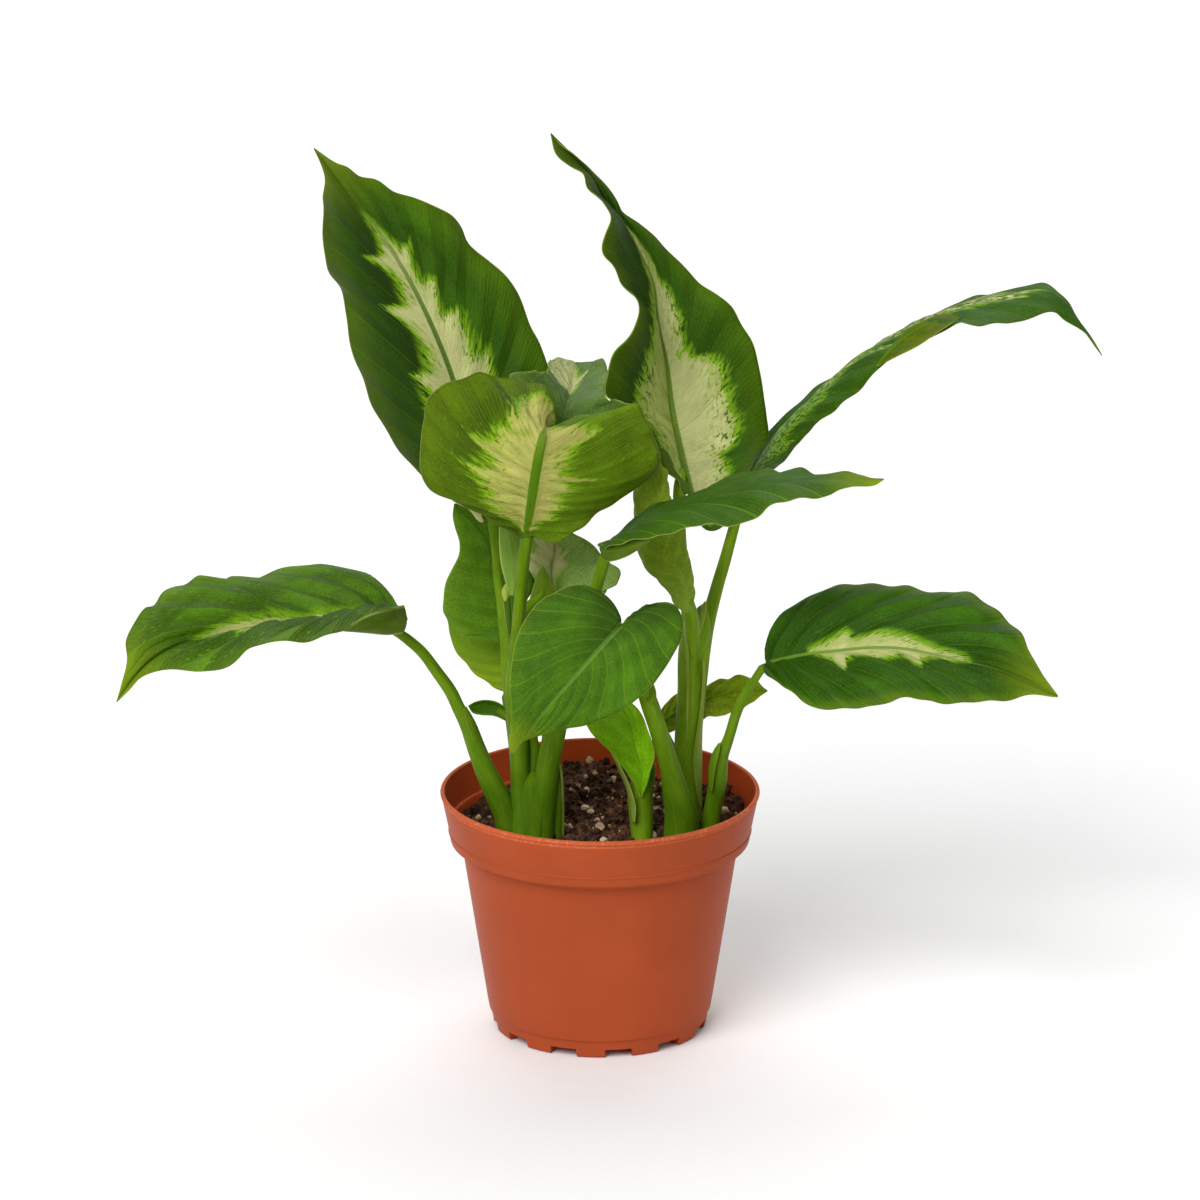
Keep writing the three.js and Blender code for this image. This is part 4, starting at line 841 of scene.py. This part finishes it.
# The texts say where the cream ends on the left half and on the right half.
LOOKS = {
    "tall_left": leaf_look(
        "0 1.2, 0.05 1.2, 0.1 0.4, 0.3 0.35, 0.44 0.28, 0.47 0.38, 0.49 0.2, 0.55 0.17, "
        "0.6 0.22, 0.62 0.42, 0.64 0.18, 0.69 0.13, 0.71 0.18, 0.735 0.4, 0.75 0.17, 0.78 0.08, "
        "0.82 0.04, 0.87 0",
        "0 0.5, 0.35 0.45, 0.45 0.4, 0.48 0.32, 0.53 0.35, 0.57 0.4, 0.595 0.18, 0.65 0.22, "
        "0.68 0.12, 0.71 0.13, 0.735 0.26, 0.75 0.13, 0.79 0.08, 0.83 0.04, 0.87 0",
        teeth=0.42, wild=0.3, quilt=0.7, tip=0.5, keel=1.1, veins=12, sides=(0.5, 1), fleck=0.55,
        rib_colour=rgb(62, 102, 12), lit=2, core=0.5),
    "front_under": leaf_look(
        "0 0.2, 0.12 0.25, 0.2 0.33, 0.3 0.36, 0.37 0.26, 0.42 0.32, 0.46 0.22, 0.48 0.45, "
        "0.5 0.22, 0.57 0.2, 0.61 0.24, 0.625 0.5, 0.65 0.45, 0.68 0.25, 0.75 0.15, 1 0.1",
        "0 0.25, 0.12 0.3, 0.2 0.36, 0.3 0.37, 0.4 0.35, 0.5 0.34, 0.58 0.38, 0.61 0.34, "
        "0.65 0.42, 0.7 0.55, 0.78 0.75, 1 0.8",
        teeth=0.6, wild=0.3, spikes=18, quilt=0.7, keel=1.8, ridge=1.5, settle=(0.5, 0.75),
        mottle=0.3, rib=1, band=0.5, freckles=0.25, under=rgb(68, 92, 8), streaks=(0.2, 0.7),
        sides=(1.3, 0.9), slant=0.2, lit=2, hair=0.7),
    "back_top": leaf_look(
        "0 0, 0.6 0, 0.66 1.1, 0.95 1.1, 1 0.9",
        "0 0, 0.6 0, 0.66 0.18, 0.8 0.25, 0.9 0.1",
        green=rgb(70, 98, 32), teeth=0.7, freckles=1, mottle=0.8, fleck=0.54, rib=0, gloss=0.25,
        streaks=(0.5, 0.3)),
    "top_centre": leaf_look(
        "0 0.6, 0.2 0.55, 0.3 0.58, 0.4 0.56, 0.47 0.5, 0.5 0.6, 0.54 0.35, 0.6 0.2, 0.66 0.1, "
        "0.72 0",
        "0 0.8, 0.12 0.7, 0.2 0.6, 0.23 0.45, 0.26 0.6, 0.3 0.66, 0.36 0.6, 0.41 0.6, 0.44 0.5, "
        "0.455 0.32, 0.5 0.26, 0.54 0.38, 0.6 0.33, 0.63 0.2, 0.7 0.3, 0.75 0.3, 0.78 0",
        tip=0.2, teeth=0.42, wild=0.3, mottle=0.4, keel=2.3, taper=1.5,
        streaks=(0.5, 0.1), sides=(0.65, 1), fleck=0.54, rib_colour=rgb(96, 130, 30), blush=0.5,
        core=0.4),
    "long_right": leaf_look(
        "0 0, 0.3 0, 0.36 0.25, 0.55 0.3, 0.9 0.12, 1 0",
        "0 0.15, 0.08 0.35, 0.15 0.5, 0.22 0.66, 0.3 0.62, 0.36 0.6, 0.42 0.5, 0.5 0.4, "
        "0.58 0.5, 0.64 0.45, 0.7 0.4, 0.78 0.35, 0.83 0.2, 0.88 0",
        teeth=0.8, wild=0.4, mottle=1.6, fleck=0.46, freckles=0.25, margin=0.05, rib=0, wash=0.9,
        island=rgb(54, 92, 8), green=rgb(44, 80, 8), line=0.2),
    "long_right_under": leaf_look(
        under=rgb(78, 94, 12), green=rgb(78, 94, 12), veins=5, vein=0, quilt=0, ripple=0,
        keel=0.5, ridge=0.4),
    "front_narrow": leaf_look(
        green=rgb(50, 84, 14), veins=10, vein=0.35, quilt=0.6, tip=0.8, hair=0.5, margin=0.05,
        keel=0.4, rib_colour=rgb(104, 138, 50)),
    # The dark tint towards its foot is painted shade.
    "heart": leaf_look(
        green=rgb(56, 92, 8), lit=2.1, veins=10, vein=0.3, hair=0.8, quilt=0.4, ripple=0.3,
        margin=0.05, margin_from=0.8, tip=0.9, rib=0.55, slant=0.75, sides=(1.1, 0.95),
        rib_colour=rgb(108, 150, 56), base=0.7, base_colour=rgb(38, 60, 14), band=0.3),
    "left_low": leaf_look(
        "0 0, 0.3 0.03, 0.6 0.05, 0.64 0.2, 0.67 0.2, 0.69 0.04, 0.8 0",
        "0 0, 0.25 0, 0.3 0.03, 0.4 0.04, 0.43 0.09, 0.45 0.04, 0.5 0.05, 0.55 0.13, 0.6 0.1, "
        "0.65 0.13, 0.7 0.1, 0.75 0.06, 0.8 0",
        green=rgb(58, 90, 8), tip=0.8, margin=0.1, quilt=1.7, veins=9, lit=2.4, hair=0.6,
        line=0.1, teeth=0.6, wild=0.3, freckles=0.5, band=0.75, slant=0.45),
    "right_low": leaf_look(
        "0 0, 0.27 0, 0.3 0.05, 0.36 0.09, 0.4 0.14, 0.42 0.2, 0.45 0.13, 0.5 0.13, 0.55 0.16, "
        "0.6 0.15, 0.64 0.1, 0.7 0.08, 0.76 0.08, 0.79 0",
        "0 0, 0.3 0, 0.36 0.1, 0.385 0.14, 0.41 0.36, 0.42 0.4, 0.43 0.22, 0.5 0.2, 0.55 0.24, "
        "0.59 0.22, 0.615 0.34, 0.635 0.4, 0.645 0.2, 0.7 0.13, 0.75 0.05, 0.8 0",
        green=rgb(44, 80, 4), tip=0.7, margin=0.25, margin_from=0.8, quilt=1.6, veins=8, lit=2,
        hair=0.6, line=0.1, teeth=0.28, wild=0.3, freckles=0.15, keel=0.85, band=0.6,
        rib_colour=rgb(104, 144, 42), core=0.4, slant=0.5, halo=0.09),
    "back_left": leaf_look(
        green=rgb(74, 112, 16), base=1, base_colour=rgb(150, 178, 30), veins=12, margin=0.1,
        vein=0.12, slant=0.05, freckles=0.2),
    "rolled": leaf_look(
        green=rgb(116, 138, 34), under=rgb(118, 144, 30), base=0.5,
        base_colour=rgb(140, 162, 66), veins=9, freckles=0.4, quilt=0.2, rib=0, ridge=0.3,
        margin=0.7, margin_from=0.3),
    # Its green is lightened to stand in for light on this leaf in shade: painted light.
    "back_centre": leaf_look(
        "0 0, 0.36 0, 0.42 0.7, 0.6 0.95, 1 0.9",
        "0 0, 0.5 0.1, 0.58 0.28, 0.63 0.5, 0.68 0.36, 0.8 0.3, 1 0.25",
        green=rgb(126, 158, 72), veins=8, vein=0, rib=0, streaks=(0.4, 0.2),
        gloss=0.2, quilt=0.3),
    "right_back": leaf_look(
        green=rgb(112, 132, 16), under=rgb(112, 132, 16), veins=8, vein=0, freckles=0.3),
    "young_centre": leaf_look(
        green=rgb(116, 172, 12), under=rgb(104, 160, 8), veins=5, vein=0, freckles=0.1, rib=0,
        ripple=0, quilt=0.15, sides=(0.85, 1.3), keel=0.5, ridge=0.3, slant=0.6),
}

FIRST_LEAF_SEED = 11
for number, (leaf_name, leaf_form) in enumerate(LEAVES.items()):
    make_blade(leaf_name, leaf_form, LOOKS[leaf_name], FIRST_LEAF_SEED + number)

# Where the long leaf twists, its near half shows its lower face.
TWIST = leaf(
    "877 367 -1.5, 887 355 -1.2, 904 339 2.4, 926 326 0.3, 954 316 4, 961 318 1",
    "896 357 -4.2, 918 346 -6, 937 333 -7, 951 324 -7, 961 318 1",
    "885 354 1, 900 337 6.2, 918 324 6, 941 314 9.8, 961 318 1",
    bulge=(0.03, 0.03), waves=((0, 1), (0, 1)), bow=0, sweep=1)
TWIST_SEED = 40
make_blade("long_right_under", TWIST, LOOKS["long_right_under"], TWIST_SEED, "leaf_long_right")


# Stalks, sheaths and stems.
FOOT_GREEN = rgb(44, 88, 12)
# The feet of the stalks darken between these heights, in metres.
FOOT_SHADE = (0.075, 0.125)
# mm along that the UV layer "along" spans.
ALONG_SPAN = 200


def stalk_material(name, base, dark, streak, margin, amount, deep=0.4):
    """Streaked green, paler towards 0 and 1 across: on a flat scrap that is its real pale margin,
    on a round stalk it is its left and right side seen from the front, a painted rim highlight.
    """
    n = Nodes(name)
    around, along = n.uv("along")
    streaks = n.noise(n.vector(n.mul(around, 22.0), n.mul(along, 9.0)), 1.0, 3.0, 0.6)
    broad = n.noise(n.vector(n.mul(around, 2.0), n.mul(along, 12.0), 4.0), 1.0, 3.0)
    flecks = n.noise(n.vector(n.mul(around, 30.0), n.mul(along, 60.0), 9.0), 1.0, 2.0)
    margin_and_rim_light = n.mul(n.size(n.sub(around, 0.5)), 2.0)
    height = n.split(n.place())[2]
    colour = n.layers(n.mix(n.step(broad, 0.3, 0.7), rgb(*dark), rgb(*base)), [
        (n.step(streaks, 0.45, 0.75), 0.4, rgb(*streak)),
        (n.step(flecks, 0.62, 0.7), 0.4, rgb(*streak)),
        # Pale edges: real margins on scraps, a painted rim highlight along the sides of round
        # stalks.
        (n.step(margin_and_rim_light, 0.8, 0.97), amount, rgb(*margin)),
        (n.drop(height, *FOOT_SHADE), deep, FOOT_GREEN),
    ])
    return n.finish(colour, n.add(0.4, n.mul(streaks, 0.2)),
                    Normal=n.bump(streaks, 0.00012, 0.4), Specular_IOR_Level=0.08)


# Name; screen colours of the tissue, its dark clouds, streaks and edge, which is a painted rim
# highlight on round stalks and the pale margin on scraps; how much the edge shows; how dark the
# foot is, where it isn't the usual.
TISSUES = {tissue: stalk_material(*values) for tissue, values in {
    "green": ("stalk_green", (102, 136, 8), (76, 110, 2), (130, 154, 38), (164, 174, 74), 0.35),
    "clasp": ("stalk_clasp", (102, 136, 8), (76, 110, 2), (130, 154, 38), (98, 132, 8), 0.3, 0.45),
    "pale": ("sheath_pale", (168, 184, 84), (138, 162, 44), (202, 206, 128), (190, 196, 112), 0.4),
    "sheath": ("sheath_dark", (70, 102, 6), (52, 86, 2), (88, 120, 14), (186, 190, 112), 0.9),
    "fold": ("bud_green", (74, 116, 10), (54, 94, 4), (100, 142, 26), (116, 154, 44), 0.6),
    "pale_leaf": ("young_pale", (132, 164, 66), (104, 144, 40), (164, 188, 98),
                  (184, 198, 110), 0.6),
    # Lightened to make up for the shade that these scraps lie in: painted light.
    "leafy": ("scrap_green_painted_light", (112, 140, 24), (90, 120, 10), (134, 156, 50), (150, 168, 70), 0.5),
    "lime": ("scrap_lime", (128, 168, 14), (98, 144, 8), (160, 186, 60), (150, 180, 50), 0.4),
    # A lighter copy of the stalk green with a paler foot: painted light for stalks that lie in the
    # leaves' shade.
    "lit_stalk": ("stalk_painted_light", (120, 154, 18), (92, 128, 6), (146, 170, 54),
               (168, 180, 84), 0.35, 0.15),
    "edge": ("sheath_edge", (150, 166, 66), (120, 146, 30), (166, 178, 90), (140, 160, 50), 0.5),
    "lobe": ("lobe_under", (84, 108, 20), (60, 86, 8), (108, 128, 40), (150, 166, 84), 0.7),
}.items()}
# The right and centre shoots take that lighter tissue, painted light.
STEM_TISSUE = {"right_shoot": "lit_stalk", "centre_shoot": "lit_stalk"}
TISSUE_NUMBERS = {name: number for number, name in enumerate(TISSUES)}
STALK_SIDES = 26
STATION_LENGTH = 1.6
STALK_GROOVE = 0.008
SCRAP_GRID = (26, 8)
SCRAP_THICKNESS = 0.3


def sweep(points):
    """Round stalk along grid readings whose fourth number is the radius in mm."""
    curve = Curve(points)
    centres = np.array([place(*r[:3]) for r in points])
    gaps = np.linalg.norm(np.diff(centres, axis=0), axis=1)
    marks = np.concatenate([[0], np.cumsum(gaps)])
    stations = max(8, int(curve.length / STATION_LENGTH))
    share = np.linspace(0, 1, stations + 1)
    radius = np.interp(share, marks / marks[-1], [r[3] for r in points])
    kernel = np.array([1, 2, 3, 2, 1]) / 9
    radius = np.convolve(np.pad(radius, 2, mode="edge"), kernel, mode="valid")
    end = np.clip(share * curve.length / np.maximum(radius, 0.4), 0, 1)
    radius = radius * np.sqrt(np.clip(1 - (1 - end) ** 2, 0.1, 1))
    centre = curve.smoothed(share)
    ahead = unit(np.gradient(centre, axis=0))
    side = unit(np.cross(ahead, [0.0, 1.0, 0.0]))
    other = np.cross(ahead, side)
    turn = np.arange(STALK_SIDES) / STALK_SIDES
    angle = 2 * np.pi * turn
    channel = np.exp(-((angle - 0.5 * np.pi) / 0.35) ** 2)
    lobes = 1 + STALK_GROOVE * np.cos(3 * angle) - STALK_GROOVE * 1.5 * channel
    ring = radius[:, None, None] * lobes[None, :, None]
    rings = centre[:, None] + ring * (side[:, None] * np.cos(angle)[None, :, None]
                                      + other[:, None] * np.sin(angle)[None, :, None])
    # around runs to 1 at the stalk's left and right side seen from the front, where the painted rim
    # highlight lies.
    around, along = np.meshgrid(np.abs(2 * turn - 1), share * curve.length / ALONG_SPAN)
    uv = np.stack([around, along], -1).reshape(-1, 2)
    return *tube(rings), np.vstack([uv, uv[:1], uv[-1:]])


def flap(left, right, arch):
    """Closed thin scrap between two margins, in the way of a blade."""
    left, right = readings(left), readings(right)
    rib = [[(a + b) / 2 for a, b in zip(p, q)] for p, q in zip(left, right)]
    form = dict(rib=rib, left=left, right=right, bulge=(0, 0), waves=((0, 1), (0, 1)), bow=0,
                sweep=1)
    grid, t, side, _, length = blade_points(form, *SCRAP_GRID)
    normals = grid_normals(grid)
    if normals[..., 1].mean() > 0:
        normals = -normals
    width = np.linalg.norm(grid[:, 0] - grid[:, -1], axis=1)
    grid = grid + normals * (arch * width[:, None] * (1 - side**2))[..., None]
    normals = grid_normals(grid)
    half = SCRAP_THICKNESS * np.where(np.abs(side) > 0.99, 0.3, 0.5)
    half = half[None, :] * np.clip(np.minimum(t / 0.02, (1.01 - t) / 0.02), 0.3, 1)[:, None]
    step = normals * half[..., None]
    T, S = np.meshgrid(t, side, indexing="ij")
    uv = np.stack([0.5 + 0.5 * S, T * length / ALONG_SPAN], -1).reshape(-1, 2)
    return *closed_sheet(grid + step, grid - step), np.vstack([uv, uv])


def make_stalks(name, node, pieces):
    stalk = join_pieces(name, pieces, list(TISSUES.values()))
    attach(stalk, "root")
    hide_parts(node)


for shoot, paths in SHOOTS.items():
    number = TISSUE_NUMBERS[STEM_TISSUE.get(shoot, "green")]
    pieces = [(*sweep(readings(path)), number) for path in paths]
    make_stalks(f"shoot_{shoot}", shoot, pieces)

for node in dict.fromkeys(owner for owner, *_ in SCRAPS):
    pieces = [(*flap(left, right, arch), TISSUE_NUMBERS[tissue])
              for owner, tissue, arch, left, right in SCRAPS if owner == node]
    make_stalks(f"scraps_{node}", node, pieces)


# Pot.
# RIM marks the lip and the inner ledge, which take a lighter copy of the plastic, a painted
# highlight.
OUTSIDE, INSIDE, RIM = 0, 1, 2
LIP_RADIUS = 0.75
NOTCH_SIZE = (3 * FOOT_RING * MM, NOTCH_WIDTH * MM, 2 * NOTCH_HEIGHT * MM, 1)
SHARP_ANGLE = math.radians(32)
POT_SEGMENTS = 192


def plastic_material(name, shade, roughness, frayed=0.0):
    n = Nodes(name)
    where = n.place()
    cloud = n.noise(where, 22.0, 3.0)
    grain = n.noise(where, 900.0, 2.0)
    colour = n.mix(n.step(cloud, 0.35, 0.7), tinted(shade, 0.93), tinted(shade, 1.06))
    if frayed:
        colour = n.layers(colour, [(n.step(grain, 0.5, 0.7), frayed, rgb(214, 140, 104))])
    return n.finish(colour, n.add(roughness, n.mul(cloud, 0.12)),
                    Normal=n.bump(grain, 0.00005, 0.35), Specular_IOR_Level=0.06)


def near(radius, height, zone, *offsets):
    """Points of the pot's outline at small offsets from a radius and a height."""
    return [(radius + outward, height + up, zone) for outward, up in offsets]


def between(start, end, zone, shares):
    """Points of the pot's outline on the line between two others."""
    return [(start[0] + (end[0] - start[0]) * f, start[1] + (end[1] - start[1]) * f, zone)
            for f in shares]


def pot_outline():
    """Radius, height and zone, from the middle of the underside round the rim to the floor."""
    lip = POT_HEIGHT - 2 * LIP_RADIUS
    seam = (BAND_BOTTOM_RADIUS + 0.42, BAND_BOTTOM + 3.6)
    turns = [math.radians(a) for a in np.linspace(-90, 90, 9)]
    return [
        (0, 0, INSIDE),
        *near(PAD_RADIUS, 0, INSIDE, (-0.4, 0), (0, 0.4), (0, FLOOR_UNDERSIDE)),
        *near(FOOT_RADIUS - FOOT_RING, 0, INSIDE, (0, FLOOR_UNDERSIDE), (0, 0.3), (0.3, 0)),
        *near(FOOT_RADIUS, 0, OUTSIDE, (-0.5, 0), (0, 0.5)),
        *near(FOOT_LINE_RADIUS, FOOT_LINE, OUTSIDE,
              (-0.75, -0.75), (-0.6, -0.3), (-0.1, -0.1), (0, 0.3)),
        *between((FOOT_LINE_RADIUS, FOOT_LINE), (BODY_TOP_RADIUS, BODY_TOP), OUTSIDE,
                 np.linspace(0.05, 1, 20)[:-1]),
        *near(BODY_TOP_RADIUS, BODY_TOP, OUTSIDE, (-0.25, -0.6), (0.35, 0)),
        *near(BAND_BOTTOM_RADIUS, BAND_BOTTOM, OUTSIDE, (-0.6, -0.25), (-0.12, 0.05), (0.02, 0.5),
              (0.35, 2.8), (0.62, 3.05), (0.62, 3.35), (0.42, 3.6)),
        *between(seam, (BAND_TOP_RADIUS, lip - 0.9), OUTSIDE, np.linspace(0.12, 1, 8)),
        *near(RIM_RADIUS - LIP_RADIUS, lip + LIP_RADIUS, RIM,
              *((LIP_RADIUS * math.cos(a), LIP_RADIUS * math.sin(a)) for a in turns)),
        *near(RIM_RADIUS, POT_HEIGHT, RIM, (-1.2, -0.05), (-1.5, -0.35)),
        (RIM_RADIUS - 1.7, lip - 0.6, INSIDE),
        (LEDGE_RADIUS + 0.55, LEDGE + 0.4, INSIDE),
        # The ledge's step is drawn in the rim's lighter plastic as a painted highlight line.
        *near(LEDGE_RADIUS, LEDGE, RIM, (0.5, 0), (-0.45, -0.12)),
        (LEDGE_RADIUS - 0.6, LEDGE - 0.4, INSIDE),
        (BAND_BOTTOM_RADIUS - WALL, BAND_BOTTOM + 1.8, INSIDE),
        (BODY_TOP_RADIUS - WALL, BODY_TOP + 1.2, INSIDE),
        (FOOT_LINE_RADIUS - WALL, FLOOR_TOP, INSIDE),
        (0, FLOOR_TOP, INSIDE),
    ]


def make_pot():
    outline = pot_outline()
    angle = 2 * np.pi * np.arange(POT_SEGMENTS) / POT_SEGMENTS
    rings = [ring_at(radius, height, angle) for radius, height, _ in outline[1:-1]]
    verts, faces = tube(np.array(rings))
    which = np.repeat([zone for _, _, zone in outline[2:-1]], POT_SEGMENTS).tolist()
    which += [INSIDE] * (len(faces) - len(which))
    materials = [
        plastic_material("pot_plastic", rgb(166, 74, 40), 0.36),
        # The inside is a lighter, redder copy of the plastic: painted light in the shaded pot.
        plastic_material("pot_inside_lit", rgb(190, 78, 34), 0.5),
        # Lighter plastic for the lip and ledge: a painted highlight, with pale frayed patches.
        plastic_material("pot_rim_highlight", rgb(188, 88, 50), 0.42, frayed=0.35),
    ]
    pot = new_mesh("pot_shell", verts, faces, materials, which)

    cutters = bmesh.new()
    for i in range(NOTCH_COUNT):
        turn = Matrix.Rotation(math.radians(NOTCH_FIRST + 360 / NOTCH_COUNT * i), 4, "Z")
        shift = Matrix.Translation(((FOOT_RADIUS - FOOT_RING / 2) * MM, 0, 0))
        bmesh.ops.create_cube(cutters, size=1, matrix=turn @ shift @ Matrix.Diagonal(NOTCH_SIZE))
    cutter_mesh = bpy.data.meshes.new("notches")
    cutters.to_mesh(cutter_mesh)
    cutters.free()
    cutter = add_object("notches", cutter_mesh)
    cut = pot.modifiers.new("notches", "BOOLEAN")
    cut.object, cut.operation, cut.solver = cutter, "DIFFERENCE", "EXACT"
    evaluated = pot.evaluated_get(bpy.context.evaluated_depsgraph_get())
    notched = bpy.data.meshes.new_from_object(evaluated)
    pot.modifiers.clear()
    pot.data = notched
    bpy.data.objects.remove(cutter)
    notched.set_sharp_from_angle(angle=SHARP_ANGLE)
    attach(pot, "root")
    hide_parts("pot")


make_pot()


# Soil with perlite.
SOIL_GAP = 0.12
SOIL_SEED = 41
SOIL_SEGMENTS, SOIL_RINGS = ((260, 110))
CLOD_COUNT, GRAIN_COUNT = ((1300, 190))


def soil_height(x, y):
    heap = 6.2 * np.exp(-((x + 3) / 17) ** 2 - ((y - 36) / 22) ** 2)
    side = 5 * np.exp(-((x - 42) / 14) ** 2 - ((y - 14) / 18) ** 2)
    side -= 1.8 * np.exp(-((x + 42) / 14) ** 2 - ((y - 12) / 18) ** 2) + 1.2 * smooth(-y, 8, 30)
    side -= 1.5 * np.exp(-((x - 16) / 6) ** 2 - ((y + 18) / 8) ** 2)
    coarse = 0.7 * np.sin(0.55 * x + 1.3) * np.sin(0.6 * y + 0.4)
    return SOIL_EDGE + 0.8 + heap + side + coarse + 0.4 * np.sin(1.1 * x - 0.9 * y)


def soil_material():
    n = Nodes("soil_peat")
    where = n.place()
    crumbs = n.noise(where, 420.0, 5.0, 0.7)
    patches = n.noise(where, 110.0, 3.0)
    colour = n.ramp(n.add(n.mul(crumbs, 0.7), n.mul(patches, 0.3)), [
        (0.36, rgb(15, 8, 4)), (0.46, rgb(50, 30, 18)),
        (0.55, rgb(85, 54, 34)), (0.66, rgb(132, 92, 62))])
    return n.finish(colour, 0.95, Normal=n.bump(crumbs, 0.0008), Specular_IOR_Level=0.2)


def perlite_material():
    n = Nodes("perlite_grain")
    where = n.place()
    grain = n.noise(where, 800.0, 3.0)
    patches = n.noise(where, 160.0, 2.0)
    colour = n.mix(n.step(patches, 0.35, 0.65), rgb(164, 134, 98), rgb(212, 192, 158))
    colour = n.layers(colour, [(n.step(grain, 0.55, 0.75), 0.5, rgb(146, 118, 88))])
    return n.finish(colour, 0.9, Normal=n.bump(grain, 0.0002, 0.6), Specular_IOR_Level=0.3)


def icosphere(level):
    ball = bmesh.new()
    bmesh.ops.create_icosphere(ball, subdivisions=level, radius=1)
    verts = np.array([v.co[:] for v in ball.verts])
    faces = [[v.index for v in f.verts] for f in ball.faces]
    ball.free()
    return verts, faces


def scatter(name, count, level, sizes, lift, rng, material, reach):
    """Lumpy grains, each a ball with waves and flat breaks, laid at random on the soil."""
    base, base_faces = icosphere(level)
    verts, faces = [], []
    for i in range(count):
        size = sizes(rng)
        p = base * rng.uniform(0.7, 1.25, 3)
        for _ in range(3):
            direction = unit(rng.normal(size=3))
            swell = 0.2 * rng.uniform(0.3, 1)
            wave = swell * np.sin(2.2 * base @ direction + rng.uniform(0, 6))
            p = p + direction * wave[:, None]
        for _ in range(12):
            direction = unit(rng.normal(size=3))
            far = p @ direction
            beyond = np.maximum(far - far.max() * rng.uniform(0.5, 0.8), 0)
            p = p - direction * beyond[:, None]
        q, _ = np.linalg.qr(rng.normal(size=(3, 3)))
        p = p @ q.T * size
        radius, angle = reach * math.sqrt(rng.uniform(0, 1)), rng.uniform(0, 2 * math.pi)
        x, y = radius * math.cos(angle), radius * math.sin(angle)
        p = p + [x, y, soil_height(x, y) + lift * size]
        faces += [[k + i * len(base) for k in f] for f in base_faces]
        verts.append(p)
    return new_mesh(name, np.vstack(verts), faces, [material], smooth_faces=False)


def make_soil():
    def inner(radius):
        return radius - WALL - SOIL_GAP
    top = inner(BAND_BOTTOM_RADIUS + 0.3)
    angle = 2 * np.pi * np.arange(SOIL_SEGMENTS) / SOIL_SEGMENTS
    rings = [ring_at(inner(radius), height, angle) for radius, height in (
        (FOOT_LINE_RADIUS, FLOOR_TOP + 0.1), (BODY_TOP_RADIUS, BODY_TOP + 1.3),
        (BAND_BOTTOM_RADIUS, BAND_BOTTOM + 1.95))]
    for share in np.linspace(1, 0.004, SOIL_RINGS):
        x, y = top * share * np.cos(angle), top * share * np.sin(angle)
        rough = [noise.fractal(Vector((px / 3.2, py / 3.2, 1.7)), 0.8, 2.2, 5)
                 for px, py in zip(x, y)]
        pits = [noise.noise(Vector((px / 6.5, py / 6.5, 8.1))) for px, py in zip(x, y)]
        z = soil_height(x, y) + 0.85 * np.array(rough) + 1.1 * np.array(pits)
        rings.append(ring_at(top * share, z - 0.6 * smooth(share, 0.9, 1.0), angle))
    verts, faces = tube(np.array(rings)[::-1])
    soil = new_mesh("soil_bed", verts, faces, [soil_material()])
    rng = np.random.default_rng(SOIL_SEED)
    clods = scatter("soil_clods", CLOD_COUNT, 1,
                    lambda g: g.uniform(0.35, 1.0) ** 1.6 * 2.5,
                    0.25, rng, bpy.data.materials["soil_peat"], top - 1.6)
    grains = scatter("perlite_grains", GRAIN_COUNT, 2,
                     lambda g: 0.6 + 1.5 * g.uniform(0, 1) ** 2.5,
                     0.45, rng, perlite_material(), top - 2.4)
    for piece in (soil, clods, grains):
        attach(piece, "root")
        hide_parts("soil")


make_soil()


# Floor, light and camera; the floor lies just under the foot.
FLOOR_HALF = 2600
FLOOR_HEIGHT = -0.2
SENSOR = 36
CLIP = (0.1, 20)
WORLD_STRENGTH = 0.32
# Name, direction that the light comes from, spread in degrees and strength.
SUNS = (
    ("key", (-0.62, -1.15, 1.15), 40, 2.5),
    ("fill", (1.2, -1.0, 0.7), 50, 0.2),
    ("back", (0.05, 1.1, 1.3), 60, 1.25),
)


def make_stage():
    paper = Nodes("floor_paper").finish(rgb(250, 250, 250), 0.9, Specular_IOR_Level=0.1)
    corners = [(x * FLOOR_HALF, y * FLOOR_HALF, FLOOR_HEIGHT)
               for x, y in ((-1, -1), (1, -1), (1, 1), (-1, 1))]
    floor = new_mesh("floor", corners, [range(4)], [paper], smooth_faces=False)

    world = bpy.data.worlds.new("studio")
    world.use_nodes = True
    background = world.node_tree.nodes["Background"]
    background.inputs["Color"].default_value = (1, 1, 1, 1)
    background.inputs["Strength"].default_value = WORLD_STRENGTH
    bpy.context.scene.world = world

    for name, spot, spread, strength in SUNS:
        light = bpy.data.lights.new(name, "SUN")
        light.angle, light.energy = math.radians(spread), strength
        lamp = add_object(name, light)
        lamp.rotation_euler = Vector(spot).to_track_quat("Z", "Y").to_euler()

    camera = add_object("camera", bpy.data.cameras.new("camera"))
    away = Vector((0, -math.cos(VIEW_TILT), math.sin(VIEW_TILT))) * VIEW_DISTANCE * MM
    camera.location = Vector((0, 0, VIEW_HEIGHT * MM)) + away
    camera.rotation_euler = (-away).to_track_quat("-Z", "Y").to_euler()
    camera.data.sensor_width = SENSOR
    camera.data.lens = SENSOR * VIEW_DISTANCE / (GRID_SIDE * GRID)
    camera.data.clip_start, camera.data.clip_end = CLIP
    bpy.context.scene.camera = camera
    bpy.context.scene.view_settings.view_transform = "Standard"


make_stage()
